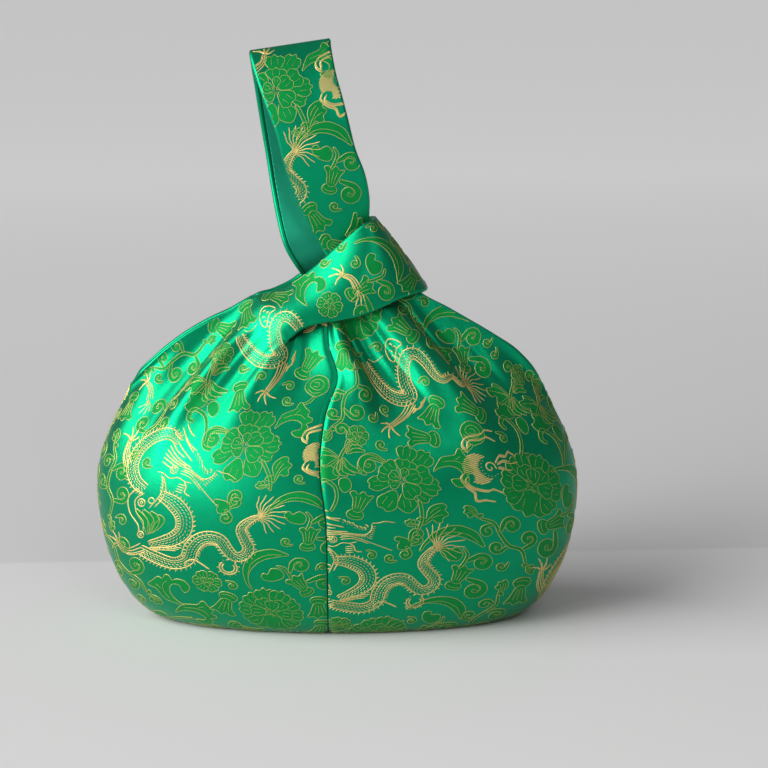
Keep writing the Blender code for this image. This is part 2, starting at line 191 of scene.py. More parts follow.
# The rolled edge, as (outwards, down) from the brocade's outer face, in metres
EDGE_ROLL = [(0.00035, 0.0004), (0.0005, 0.0011), (0.00035, 0.0019), (-0.0001, 0.00235),
             (-0.0013, 0.0023), (-0.0015, 0.00205), (-0.0012, 0.0010)]

# Camera and studio
CAMERA_DISTANCE = 0.9
CAMERA_ELEVATION = math.radians(12)
CAMERA_TARGET = (0.0195, 0.0, 0.099)
CAMERA_LENS = 102
SENSOR_WIDTH = 36
PICTURE_SIZE = 768
FLOOR_SIZE = 60
FLOOR_COLOUR = (0.73, 0.72, 0.725, 1)
BACKDROP_COLOUR = (0.65, 0.645, 0.65, 1)
FAR_BACKDROP_COLOUR = (0.93, 0.93, 0.93, 1)
FAR_BACKDROP = 1.6
BACKDROP_START = 0.084
BACKDROP_SLOPE = 0.073
BACKDROP_BLUR = 0.002
FLOOR_ROUGHNESS = 0.9
SURROUND_LEVEL = 0.20
LIGHT_TARGET = (0, 0, 0.1)

# Each light's name, kind, place and strength, and its angle or its width in metres
LIGHTS = [
    ("day", "SUN", (-0.95, -0.36, 0.75), 2.4, "angle", math.radians(50)),
    ("window", "AREA", (-1.15, -1.0, 0.45), 18.0, "size", 1.1),
    ("lamp", "AREA", (0.25, -0.8, 0.65), 0.9, "size", 0.30),
]


# Curves

def smooth_step(value):
    value = np.clip(value, 0.0, 1.0)
    return value * value * (3 - 2 * value)


def bump(value, centre, width):
    return np.exp(-(((value - centre) / width) ** 2))


def curve_weights(count, positions):
    """The share that each of count points has in a smooth curve's point at each position."""
    weights = np.zeros((len(positions), count))
    for row, position in enumerate(positions):
        index = int(min(max(math.floor(position), 0), count - 2))
        step = position - index
        shares = {
            index - 1: 0.5 * (-step + 2 * step**2 - step**3),
            index: 0.5 * (2 - 5 * step**2 + 3 * step**3),
            index + 1: 0.5 * (step + 4 * step**2 - 3 * step**3),
            index + 2: 0.5 * (step**3 - step**2),
        }
        for place, share in shares.items():
            if place < 0:
                weights[row, 0] += 2 * share
                weights[row, 1] -= share
            elif place >= count:
                weights[row, count - 1] += 2 * share
                weights[row, count - 2] -= share
            else:
                weights[row, place] += share
    return weights


def through(points, position):
    """The point at position 0 to 1 on a smooth curve through the points, with equal steps between them."""
    points = np.asarray(points, float)
    place = min(max(position, 0.0), 1.0) * (len(points) - 1)
    return curve_weights(len(points), [place])[0] @ points


def refine(grid, across, along):
    """The points of a smooth surface through a grid of points, at fine positions both ways."""
    return np.einsum("ia,jb,abk->ijk", curve_weights(grid.shape[0], across),
                     curve_weights(grid.shape[1], along), grid, optimize=True)


def hermite(start, start_slope, end, end_slope, position):
    p, p2, p3 = position, position**2, position**3
    return (
        (2 * p3 - 3 * p2 + 1) * start
        + (p3 - 2 * p2 + p) * start_slope
        + (3 * p2 - 2 * p3) * end
        + (p3 - p2) * end_slope
    )


def unit(vector):
    return vector / np.maximum(np.linalg.norm(vector, axis=-1, keepdims=True), 1e-12)


# The wall of the body. side is -1 for the left half and 1 for the right one, and face is -1 for the front
# and 1 for the back

def wall_half(base, widest, height, loss):
    if height < WIDEST_HEIGHT:
        turn = math.acos(1 - height / WIDEST_HEIGHT)
        return (base + (widest - base) * math.sin(turn)) / 2
    return widest / 2 * (1 - loss * (height / WIDEST_HEIGHT - 1) ** 2)


def on_wall(side, face, angle, height):
    half_width = wall_half(BASE_WIDTH, BODY_WIDTH, height, WALL_NARROWING)
    half_depth = wall_half(BASE_DEPTH, BODY_DEPTH, height, WALL_THINNING)
    x = SEAM_OFFSET + (side * half_width - SEAM_OFFSET) * math.sin(angle)
    return np.array([x, face * half_depth * math.cos(angle), height])


def on_base(side, face, angle, share):
    rim = on_wall(side, face, angle, 0.0)
    start = np.array([SEAM_OFFSET + (rim[0] - SEAM_OFFSET) * BASE_SEAM_SHARE, 0.0, 0.0])
    return start + (rim - start) * share


# The handles

def knot_point(face, place):
    x, y, z = place
    return np.array([KNOT_OFFSET + x * KNOT_UNIT, face * y * KNOT_DEPTH_UNIT, KNOT_HEIGHT + z * KNOT_UNIT])


def short_handle(face, across, along):
    low = through([knot_point(face, place) for place in SHORT_LOWER_EDGE], along)
    high = through([knot_point(face, place) for place in SHORT_UPPER_EDGE], along)
    swell = SHORT_HANDLE_SWELL * HANDLE_WIDTH * 4 * across * (1 - across) * (1 - 0.55 * along)
    way = np.array([0.35 * along**3, face * (1 - along**4), 0.25 * (1 - along)])
    return low + (high - low) * across + swell * way


def long_handle_edge(face, edge):
    in_knot = LONG_LEFT_EDGE[face] if edge < 0 else LONG_RIGHT_EDGE[face]
    points = [knot_point(face, place) for place in in_knot]
    for lean, opening, rise, tilt in LONG_LOOP[face]:
        tilt = math.radians(tilt)
        reach = edge * HANDLE_WIDTH / 2
        points.append(np.array([
            KNOT_OFFSET - lean * LONG_HANDLE_LEAN + reach * math.cos(tilt),
            face * opening * LONG_HANDLE_OPENING / 2,
            KNOT_HEIGHT + rise * LONG_HANDLE_RISE + reach * math.sin(tilt),
        ]))
    return points


def long_handle(face, across, along):
    left = through(long_handle_edge(face, -1), along)
    right = through(long_handle_edge(face, 1), along)
    arch = math.sin(math.pi * min(along, LONG_HANDLE_ARCH))
    swell = LONG_HANDLE_SWELL * HANDLE_WIDTH * 4 * across * (1 - across) * arch
    return left + (right - left) * across + np.array([0.0, face * swell, 0.0])


def handle_of(side):
    return short_handle if side < 0 else long_handle


# The upper edge of the body

def mouth_edge(side, face, share):
    drop = FRONT_MOUTH_DROP if face < 0 else BACK_MOUTH_DROP
    top = np.array([SEAM_OFFSET, face * MOUTH_DEPTH / 2, KNOT_HEIGHT - drop])
    between = [knot_point(face, place) for place in MOUTH_EDGE[side, face]]
    return through([top, *between, handle_of(side)(face, 0.0, 0.0)], share)


def side_edge(side, face, share):
    start = handle_of(side)(face, 1.0, 0.0)
    end = np.array([side * (BODY_WIDTH / 2 - SIDE_OPENING_INSET), 0.0, SIDE_OPENING_HEIGHT])
    reach = 1 - (1 - share) ** SIDE_EDGE_EASE
    rise = float(through([[value] for value in SIDE_EDGE_RISE[side]], reach)[0])
    y = start[1] + (face * SIDE_OPENING_GAP / 2 - start[1]) * smooth_step(reach / SIDE_OPENING_CLOSES)
    y *= math.sqrt(1 - max(0.0, (reach - SIDE_OPENING_ROUNDS) / (1 - SIDE_OPENING_ROUNDS)) ** 2)
    return np.array([start[0] + (end[0] - start[0]) * reach, y, end[2] + (start[2] - end[2]) * rise])


def top_of_column(side, face, column):
    handle = handle_of(side)
    upward = np.array([0.0, 0.0, 1.0])
    seam_way = np.array([0.0, -0.45 * face, 1.0])
    side_way = np.array([-0.35 * side, 0.0, 1.0])
    inner_way, middle_way, outer_way = (
        unit(handle(face, across, 0.001) - handle(face, across, 0.0)) for across in (0.0, 0.5, 1.0)
    )
    if column < MOUTH_CELLS:
        share = column / MOUTH_CELLS
        way = seam_way + (inner_way + upward - seam_way) * smooth_step(share)
        return mouth_edge(side, face, share), unit(way)
    if column <= MOUTH_CELLS + STRAP_CELLS:
        across = (column - MOUTH_CELLS) / STRAP_CELLS
        corner_way = (inner_way if across < 0.5 else outer_way) + upward
        return handle(face, across, 0.0), unit(middle_way + (corner_way - middle_way) * (2 * across - 1) ** 2)
    share = (column - MOUTH_CELLS - STRAP_CELLS) / SIDE_CELLS
    way = outer_way + upward
    return side_edge(side, face, share), unit(way + (side_way - way) * smooth_step(share * 1.6))


def angle_of_column(column):
    """The angles at which columns leave the wall; a column may be a fraction."""
    marks = [0, MOUTH_CELLS, MOUTH_CELLS + STRAP_CELLS, COLUMNS]
    return np.interp(column, marks, [0.0, MOUTH_ANGLE, STRAP_ANGLE, SIDE_ANGLE])


def column_points(side, face, column):
    angle = float(angle_of_column(column))
    points = [on_base(side, face, angle, row / BASE_CELLS) for row in range(BASE_CELLS)]
    for row in range(LOWER_WALL_CELLS):
        height = WIDEST_HEIGHT * (1 - math.cos(math.pi / 2 * row / LOWER_WALL_CELLS))
        points.append(on_wall(side, face, angle, height))
    for row in range(UPPER_WALL_CELLS):
        height = WIDEST_HEIGHT + (WALL_HEIGHT - WIDEST_HEIGHT) * row / UPPER_WALL_CELLS
        points.append(on_wall(side, face, angle, height))
    start = on_wall(side, face, angle, WALL_HEIGHT)
    start_way = unit(start - on_wall(side, face, angle, 0.98 * WALL_HEIGHT))
    end, end_way = top_of_column(side, face, column)
    reach = np.linalg.norm(end - start)
    for row in range(SHOULDER_CELLS + 1):
        share = row / SHOULDER_CELLS
        points.append(hermite(start, WALL_PULL * reach * start_way, end, TOP_PULL * reach * end_way, share))
    return points


# The coarse grids of one half

def body_grid(side, face):
    """The evened body of one face: columns from the seam to the side by rows from the base to the top."""
    grid = np.array([column_points(side, face, column) for column in range(COLUMNS + 1)])
    rows = np.arange(WALL_TOP_ROW + 1, TOP_ROW)
    share = (EVENING_SHARE * smooth_step((rows - WALL_TOP_ROW) / FADE_ROWS))[None, :, None]
    for _ in range(EVENING_ROUNDS):
        around = (grid[:-2, rows] + grid[2:, rows] + grid[1:-1, rows - 1] + grid[1:-1, rows + 1]) / 4
        grid[1:-1, rows] += (around - grid[1:-1, rows]) * share
    return grid


def handle_grid(side, face):
    """One handle's half from its foot to its top or turn: points across by points along."""
    cells = SHORT_HANDLE_CELLS if side < 0 else LONG_HANDLE_CELLS
    return np.array([[handle_of(side)(face, i / STRAP_CELLS, row / cells) for row in range(cells + 1)]
                     for i in range(STRAP_CELLS + 1)])


# Fine positions on the coarse grids

def fine_columns():
    columns = list(SEAM_FINE)
    columns += [1 + i / MOUTH_FINE for i in range((MOUTH_CELLS - 1) * MOUTH_FINE)]
    columns += [MOUTH_CELLS + i / STRAP_FINE for i in range(STRAP_CELLS * STRAP_FINE)]
    columns += [MOUTH_CELLS + STRAP_CELLS + i / SIDE_FINE for i in range(SIDE_CELLS * SIDE_FINE + 1)]
    return np.array(columns)


def fine_rows():
    rows = [i / BASE_FINE for i in range(BASE_CELLS * BASE_FINE)]
    rows += [BASE_CELLS + i / WALL_FINE for i in range((WALL_TOP_ROW - BASE_CELLS) * WALL_FINE)]
    rows += [WALL_TOP_ROW + i / SHOULDER_FINE for i in range(SHOULDER_CELLS * SHOULDER_FINE + 1)]
    return np.array(rows)


class Half:
    """The fine sheet of one half: its points, and the grids of point numbers that its patches are made of."""

    def __init__(self, side, coarser=1):
        self.side = side
        self.columns = thinned(fine_columns(), coarser, [0, MOUTH_CELLS, MOUTH_CELLS + STRAP_CELLS, COLUMNS])
        self.rows = thinned(fine_rows(), coarser, [0, BASE_CELLS, TOP_ROW])
        self.foot = [int(np.argmin(abs(self.columns - mark)))
                     for mark in (MOUTH_CELLS, MOUTH_CELLS + STRAP_CELLS)]
        bodies = {face: body_grid(side, face) for face in (-1, 1)}
        handles = {face: handle_grid(side, face) for face in (-1, 1)}
        self.points = np.zeros((0, 3))
        self.place_bodies(bodies, handles)
        self.place_handles(bodies, handles, coarser)
        self.points[:, 2] = np.maximum(self.points[:, 2], 0.0)

    def add(self, points):
        """Keeps new points and gives their numbers."""
        first = len(self.points)
        self.points = np.concatenate([self.points, points.reshape(-1, 3)])
        return first + np.arange(points.size // 3).reshape(points.shape[:-1])

    def place_bodies(self, bodies, handles):
        chain = np.concatenate([bodies[-1], bodies[1][-2::-1]])
        above = 2 * chain[:, -1] - chain[:, -2]
        feet = slice(MOUTH_CELLS, MOUTH_CELLS + STRAP_CELLS + 1)
        above[feet] = handles[-1][:, 1]
        above[2 * COLUMNS - MOUTH_CELLS - STRAP_CELLS:2 * COLUMNS - MOUTH_CELLS + 1] = handles[1][::-1, 1]
        chain = np.concatenate([chain, above[:, None]], axis=1)
        across = np.concatenate([self.columns, 2 * COLUMNS - self.columns[-2::-1]])
        fine = refine(chain, across, self.rows)
        count = len(self.columns)
        front = self.add(fine[:count])
        back = front.copy()
        back[:-1, 1:] = self.add(fine[count:, 1:][::-1])
        self.body = {-1: front, 1: back}

    def place_handles(self, bodies, handles, coarser):
        columns = self.columns[self.foot[0]:self.foot[1] + 1] - MOUTH_CELLS
        cells = handles[-1].shape[1] - 1
        steps = thinned(np.arange(cells * HANDLE_FINE + 1) / HANDLE_FINE, coarser, [0, cells])
        feet = slice(MOUTH_CELLS, MOUTH_CELLS + STRAP_CELLS + 1)
        self.handle = {}
        chains = {face: np.concatenate([bodies[face][feet, -2:-1], handles[face]], axis=1)
                  for face in (-1, 1)}
        for face in (-1, 1):
            chain = chains[face]
            if self.side < 0:
                chain = np.concatenate([chain, chains[-face][:, -2:-1]], axis=1)
            fine = refine(chain, columns, 1 + steps)
            grid = np.zeros(fine.shape[:2], int)
            grid[:, 0] = self.body[face][self.foot[0]:self.foot[1] + 1, -1]
            if face < 0:
                grid[:, 1:] = self.add(fine[:, 1:])
            else:
                grid[:, 1:-1] = self.add(fine[:, 1:-1])
                grid[:, -1] = self.handle[-1][:, -1]
            self.handle[face] = grid

    def patches(self):
        """Each grid of point numbers, turned so that its quads face out."""
        found = []
        for face in (-1, 1):
            for grid in (self.body[face], self.handle[face]):
                found.append(grid if self.side * face < 0 else grid[::-1])
        return found


def thinned(positions, step, marks):
    """Every so many of the positions, with those at the marks kept."""
    kept = []
    for low, high in zip(marks, marks[1:]):
        between = positions[(positions >= low - 1e-9) & (positions < high - 1e-9)]
        kept.append(between[::step])
    return np.concatenate([*kept, [marks[-1]]])


def quads_of(grid):
    """The quads of a grid of point numbers, as rows of four."""
    quads = np.stack([grid[:-1, :-1], grid[1:, :-1], grid[1:, 1:], grid[:-1, 1:]], axis=-1)
    return quads.reshape(-1, 4)


def normals_of(points, quads):
    """The normals at the points, as long as it takes to keep a layer's thickness where the sheet turns."""
    normals = np.zeros_like(points)
    whole = np.zeros(len(points))
    for corners in ((0, 1, 2), (0, 2, 3), (0, 1, 3), (1, 2, 3)):
        triangles = quads[:, corners]
        places = points[triangles]
        flat = unit(np.cross(places[:, 1] - places[:, 0], places[:, 2] - places[:, 0]))
        for corner in range(3):
            one = unit(places[:, (corner + 1) % 3] - places[:, corner])
            two = unit(places[:, (corner + 2) % 3] - places[:, corner])
            angle = np.arccos(np.clip((one * two).sum(1), -1, 1))
            np.add.at(normals, triangles[:, corner], flat * angle[:, None])
            np.add.at(whole, triangles[:, corner], angle)
    length = np.maximum(np.linalg.norm(normals, axis=1), 1e-9)
    return normals * np.minimum(whole / length, MOST_STRETCH)[:, None] / length[:, None]


# Folds

def seam_sway(face, angle, height):
    if face > 0:
        return np.zeros_like(height)
    lean = sum(share * bump(height, place * KNOT_HEIGHT, width * KNOT_HEIGHT)
               for place, width, share in SEAM_BENDS)
    return lean * SEAM_SWAY * (1 - smooth_step(angle / SWAY_REACH))


def fold_height(side, face, angle, height):
    place = angle / SIDE_ANGLE
    down = (KNOT_HEIGHT - height) / KNOT_HEIGHT
    total = np.zeros_like(height)
    for centre, width, share, length in BACK_FOLDS if face > 0 else FRONT_FOLDS[side]:
        total += share * bump(place, centre + FOLD_DRIFT * down, width) * (1 - smooth_step(down / length))
    return total * FOLD_DEPTH * smooth_step(place / FOLDS_START)


def add_folds(half, quads):
    """Lifts the body's cloth along its normals into folds, and leans the middle seam as the knot pulls it."""
    normals = normals_of(half.points, quads)
    angles = angle_of_column(half.columns)[:, None]
    fade = smooth_step((TOP_ROW - half.rows) / FADE_ROWS)[None] * (half.rows > BASE_CELLS)[None]
    moves = np.zeros_like(half.points)
    for face, grid in half.body.items():
        height = half.points[grid][..., 2]
        stand = fold_height(half.side, face, angles, height) * fade
        move = normals[grid] * stand[..., None]
        move[..., 0] += seam_sway(face, angles, height) * (half.rows > BASE_CELLS)[None]
        own = grid if face < 0 else grid[:-1]
        moves[own] = move[:len(own)]
    half.points += moves


def groove_seam(half, normals):
    """Rolls the cloth inwards where the two halves are sewn together."""
    for grid in half.body.values():
        away = abs(half.points[grid][..., 0] - half.points[grid[:1]][..., 0])
        depth = SEAM_GROOVE * np.exp(-((away / SEAM_GROOVE_WIDTH) ** 2))
        half.points[grid] -= normals[grid] * depth[..., None]
        half.points[grid[0], 0] += half.side * SEAM_GAP / 2


def finished_sheet(side, coarser=1):
    """One half's sheet with its folds, its quads, and the normals along which its layers lie."""
    half = Half(side, coarser)
    quads = np.concatenate([quads_of(grid) for grid in half.patches()])
    add_folds(half, quads)
    groove_seam(half, normals_of(half.points, quads))
    normals = normals_of(half.points, quads)
    for grid in half.body.values():
        normals[grid[0], 0] = side * np.minimum(side * normals[grid[0], 0], 0.0)
    return half, quads, normals


# The flat cloth: each half is laid flat, so that the woven pattern can be drawn on it in millimetres

FLAT_STEP_ACROSS = 0.5
FLAT_STEP_ALONG = 1.0
FLAT_ROUNDS = 80
LEAST_COTANGENT = 0.05


def turned(vectors):
    """The flat vectors turned a quarter to the left."""
    return np.stack([-vectors[..., 1], vectors[..., 0]], axis=-1)


def laid_flat(points, triangles, guess):
    """Flattens a surface with as little stretch as it allows, starting from a guess."""
    corners = points[triangles]
    first = corners[:, 1] - corners[:, 0]
    second = corners[:, 2] - corners[:, 0]
    right = unit(first)
    up = np.cross(unit(np.cross(first, second)), right)
    flat = np.zeros((len(triangles), 3, 2))
    flat[:, 1, 0] = (first * right).sum(1)
    flat[:, 2, 0] = (second * right).sum(1)
    flat[:, 2, 1] = (second * up).sum(1)
    matrix = np.zeros((len(points), len(points)))
    sides = []
    for corner in range(3):
        a, b = triangles[:, (corner + 1) % 3], triangles[:, (corner + 2) % 3]
        to_a = flat[:, (corner + 1) % 3] - flat[:, corner]
        to_b = flat[:, (corner + 2) % 3] - flat[:, corner]
        area = abs(to_a[:, 0] * to_b[:, 1] - to_a[:, 1] * to_b[:, 0])
        weight = np.maximum((to_a * to_b).sum(1) / np.maximum(area, 1e-12), LEAST_COTANGENT)
        for i, j, sign in ((a, a, 1), (b, b, 1), (a, b, -1), (b, a, -1)):
            np.add.at(matrix, (i, j), sign * weight)
        sides.append((a, b, weight, to_b - to_a))
    matrix[0, 0] += 1.0
    inverse = np.linalg.inv(matrix)
    placed = guess.copy()
    for _ in range(FLAT_ROUNDS):
        along = np.zeros(len(triangles))
        askew = np.zeros(len(triangles))
        for a, b, weight, side in sides:
            now = placed[b] - placed[a]
            along += weight * (now * side).sum(1)
            askew += weight * (turned(side) * now).sum(1)
        size = np.maximum(np.hypot(along, askew), 1e-12)
        cosine, sine = (along / size)[:, None], (askew / size)[:, None]
        target = np.zeros_like(placed)
        for a, b, weight, side in sides:
            wanted = (side * cosine + turned(side) * sine) * weight[:, None]
            np.add.at(target, b, wanted)
            np.add.at(target, a, -wanted)
        placed = inverse @ target
    return placed


def picked(positions, last, step):
    """The fine positions nearest to every so many coarse cells."""
    return np.array([int(np.argmin(abs(positions - mark))) for mark in np.arange(0, last + 0.1, step)])


def run_lengths(points, axis):
    """The length along a grid's lines, from their starts."""
    steps = np.linalg.norm(np.diff(points, axis=axis), axis=-1)
    shape = list(steps.shape)
    shape[axis] = 1
    return np.concatenate([np.zeros(shape), np.cumsum(steps, axis=axis)], axis=axis)


class FlatCloth:
    """One half laid flat: where its patches lie, in millimetres, and the way back to the bag."""

    def __init__(self, half, normals):
        self.half = half
        self.normals = unit(normals)
        self.lay_flat()
        self.collect_triangles()

    def lay_flat(self):
        half = self.half
        columns = picked(half.columns, COLUMNS, FLAT_STEP_ACROSS)
        rows = picked(half.rows, TOP_ROW, FLAT_STEP_ALONG)
        chain = np.concatenate([half.body[-1][columns], half.body[1][columns][-2::-1]])[:, rows]
        across = run_lengths(half.points[chain], 0)
        middle = len(columns) - 1
        across = (across - across[middle]) * half.side
        up = run_lengths(half.points[chain], 1).mean(0)[None] + np.zeros_like(across)
        grids = [chain]
        guesses = [np.stack([across, up], axis=-1)]
        feet = slice(MOUTH_CELLS * 2, (MOUTH_CELLS + STRAP_CELLS) * 2 + 1)
        for face in (-1, 1):
            handle = half.handle[face]
            strap = np.arange(handle.shape[0])[::STRAP_FINE // 2]
            steps = np.arange(handle.shape[1])[::HANDLE_FINE]
            grid = handle[strap][:, steps]
            guess = np.stack([across[feet, -1] if face < 0 else across[::-1][feet, -1]] * len(steps), axis=1)
            rise = up[0, -1] + run_lengths(half.points[grid], 1)
            grids.append(grid)
            guesses.append(np.stack([guess, rise], axis=-1))
        numbers = self.number_grids(chain, grids, feet)
        count = max(grid.max() for grid in numbers) + 1
        points = np.zeros((count, 3))
        guess = np.zeros((count, 2))
        for grid, own, start in list(zip(numbers, grids, guesses))[::-1]:
            points[grid] = half.points[own]
            guess[grid] = start
        triangles = []
        for turn, grid in enumerate(numbers):
            facing = half.side * (-1 if turn == 2 else 1) > 0
            quads = quads_of(grid if facing else grid[::-1])
            triangles += [quads[:, [0, 1, 2]], quads[:, [0, 2, 3]]]
        placed = 1000 * laid_flat(points, np.concatenate(triangles), guess)
        self.spread_out([placed[grid] for grid in numbers], columns, rows)

    @staticmethod
    def number_grids(chain, grids, feet):
        """New numbers for the flat grids: the handles share only their feet with the body."""
        body = np.arange(chain.size).reshape(chain.shape)
        numbers = [body]
        start = body.size
        for face, grid in zip((-1, 1), grids[1:]):
            fresh = start + np.arange(grid.size).reshape(grid.shape)
            fresh[:, 0] = body[feet, -1] if face < 0 else body[::-1][feet, -1]
            start += grid.size
            numbers.append(fresh)
        used = np.unique(np.concatenate([grid.ravel() for grid in numbers]))
        return [np.searchsorted(used, grid) for grid in numbers]

    def spread_out(self, coarse, columns, rows):
        """Fills in the flat places of all fine points from the coarse ones."""
        half = self.half
        across = np.interp(half.columns, half.columns[columns], np.arange(len(columns)))
        along = np.interp(half.rows, half.rows[rows], np.arange(len(rows)))
        last = 2 * (len(columns) - 1)
        self.flat = {("body", -1): refine(coarse[0], across, along),
                     ("body", 1): refine(coarse[0], last - across, along)}
        for face, grid in zip((-1, 1), coarse[1:]):
            shape = half.handle[face].shape
            self.flat["handle", face] = refine(grid, np.arange(shape[0]) / (STRAP_FINE // 2),
                                               np.arange(shape[1]) / HANDLE_FINE)

    def collect_triangles(self):
        """All triangles that face out: the numbers of their points, and where they lie on the flat cloth."""
        numbers, places = [], []
        for (part, face), flat in self.flat.items():
            grid = (self.half.body if part == "body" else self.half.handle)[face]
            if self.half.side * face > 0:
                grid, flat = grid[::-1], flat[::-1]
            order = np.arange(grid.size).reshape(grid.shape)
            quads = quads_of(order)
            triangles = np.concatenate([quads[:, [0, 1, 2]], quads[:, [0, 2, 3]]])
            numbers.append(grid.ravel()[triangles])
            places.append(flat.reshape(-1, 2)[triangles])
        self.numbers = np.concatenate(numbers)
        self.places = np.concatenate(places)
        flat = np.concatenate([self.places.reshape(-1, 2), np.zeros((self.places.size // 2, 1))], axis=1)
        faces = np.arange(len(flat)).reshape(-1, 3).tolist()
        self.flat_tree = BVHTree.FromPolygons(flat.tolist(), faces)
        self.bag_tree = BVHTree.FromPolygons(self.half.points.tolist(), self.numbers.tolist())

    def on_bag(self, places, lift):
        """The bag's points at places of the flat cloth, lifted off it, and which places are on the cloth."""
        down = Vector((0, 0, -1))
        hits = [self.flat_tree.ray_cast(Vector((x, y, 1.0)), down)[2] for x, y in places.tolist()]
        found = np.array([hit is not None for hit in hits])
        rows = np.array([0 if hit is None else hit for hit in hits])
        shares = shares_in(self.places[rows], places)
        numbers = self.numbers[rows]
        points = (self.half.points[numbers] * shares[..., None]).sum(1)
        normals = unit((self.normals[numbers] * shares[..., None]).sum(1))
        points += normals * (np.broadcast_to(lift, len(places))[:, None] / 1000)
        points[:, 2] = np.maximum(points[:, 2], 0.0)
        return points, found

    def corner_places(self):
        """The flat place of each corner of the half's quads, in the order of its patches."""
        found = []
        for face in (-1, 1):
            for part in ("body", "handle"):
                flat = self.flat[part, face]
                if self.half.side * face > 0:
                    flat = flat[::-1]
                order = np.arange(flat.size // 2).reshape(flat.shape[:2])
                found.append(flat.reshape(-1, 2)[quads_of(order)])
        return np.concatenate(found)

    def seen_at(self, origin, way):
        """The place on the flat cloth that a line of sight meets first, or None."""
        hit, _, row, _ = self.bag_tree.ray_cast(origin, way)
        if hit is None:
            return None
        corners = self.half.points[self.numbers[row]]
        normal = np.cross(corners[1] - corners[0], corners[2] - corners[0])
        parts = [np.dot(np.cross(corners[(i + 1) % 3] - hit, corners[(i + 2) % 3] - hit), normal)
                 for i in range(3)]
        return (np.array(parts)[:, None] / sum(parts) * self.places[row]).sum(0)


def shares_in(triangles, places):
    """The share that each corner of a flat triangle has in a place inside it."""
    a, b, c = triangles[:, 0], triangles[:, 1], triangles[:, 2]
    area = cross_flat(b - a, c - a)
    area = np.where(abs(area) < 1e-12, 1e-12, area)
    second = cross_flat(places - a, c - a) / area
    third = cross_flat(b - a, places - a) / area
    return np.stack([1 - second - third, second, third], axis=1)


def cross_flat(one, two):
    return one[..., 0] * two[..., 1] - one[..., 1] * two[..., 0]


# The woven pattern, drawn on the flat cloth in millimetres

THREAD_STEP = 0.75
LINE_WIDTH = 0.34
VEIN_WIDTH = 0.30
FINE_VEIN_WIDTH = 0.28
PETAL_VEIN_WIDTH = 0.6 * LINE_WIDTH
GOLD_WIDTH = 0.60
CURVE_STEPS = 8


def spline(points, closed=False, step=THREAD_STEP):
    """A smooth line through flat points, as points at even steps."""
    points = np.asarray(points, float)
    if closed:
        ring = np.concatenate([points[-1:], points, points[:2]])
        places = np.linspace(1, len(points) + 1, CURVE_STEPS * len(points) + 1)
    else:
        ring = points
        places = np.linspace(0, len(points) - 1, CURVE_STEPS * (len(points) - 1) + 1)
    return evened(curve_weights(len(ring), places) @ ring, step)


def evened(line, step=THREAD_STEP):
    run = np.concatenate([[0.0], np.cumsum(np.linalg.norm(np.diff(line, axis=0), axis=1))])
    places = np.linspace(0, run[-1], max(1, round(run[-1] / step)) + 1)
    return np.stack([np.interp(places, run, line[:, 0]), np.interp(places, run, line[:, 1])], axis=1)


def across_line(line):
    """At each point of a line, the direction across it, to the left."""
    return turned(unit(np.gradient(line, axis=0)))


def inside(points, shape):
    """Which points lie inside a closed shape."""
    start, end = shape, np.roll(shape, -1, axis=0)
    x, y = points[:, :1], points[:, 1:]
    spans = (start[:, 1] > y) != (end[:, 1] > y)
    rise = np.where(spans, end[:, 1] - start[:, 1], 1.0)
    crossing = start[:, 0] + (y - start[:, 1]) * (end[:, 0] - start[:, 0]) / rise
    return (spans & (x < crossing)).sum(1) % 2 == 1


def visible_runs(line, shapes):
    """The stretches of a line that no shape covers."""
    covered = np.zeros(len(line), bool)
    for shape in shapes:
        covered |= inside(line, shape)
    marks = np.flatnonzero(np.diff(covered)) + 1
    hidden = covered[np.concatenate([[0], marks])]
    return [run for run, gone in zip(np.split(line, marks), hidden) if len(run) > 1 and not gone]


def rotated(points, degrees):
    """Flat points turned clockwise."""
    turn = math.radians(degrees)
    x, y = np.asarray(points, float).T
    cosine, sine = math.cos(turn), math.sin(turn)
    return np.stack([x * cosine + y * sine, y * cosine - x * sine], axis=1)


def arc(x, y, radius, start=0.0, end=6.2, step=1.05):
    """Points on part of a circle, or with no other angles on all of it."""
    return [(x + radius * math.cos(turn), y + radius * math.sin(turn))
            for turn in np.arange(start, end, step)]


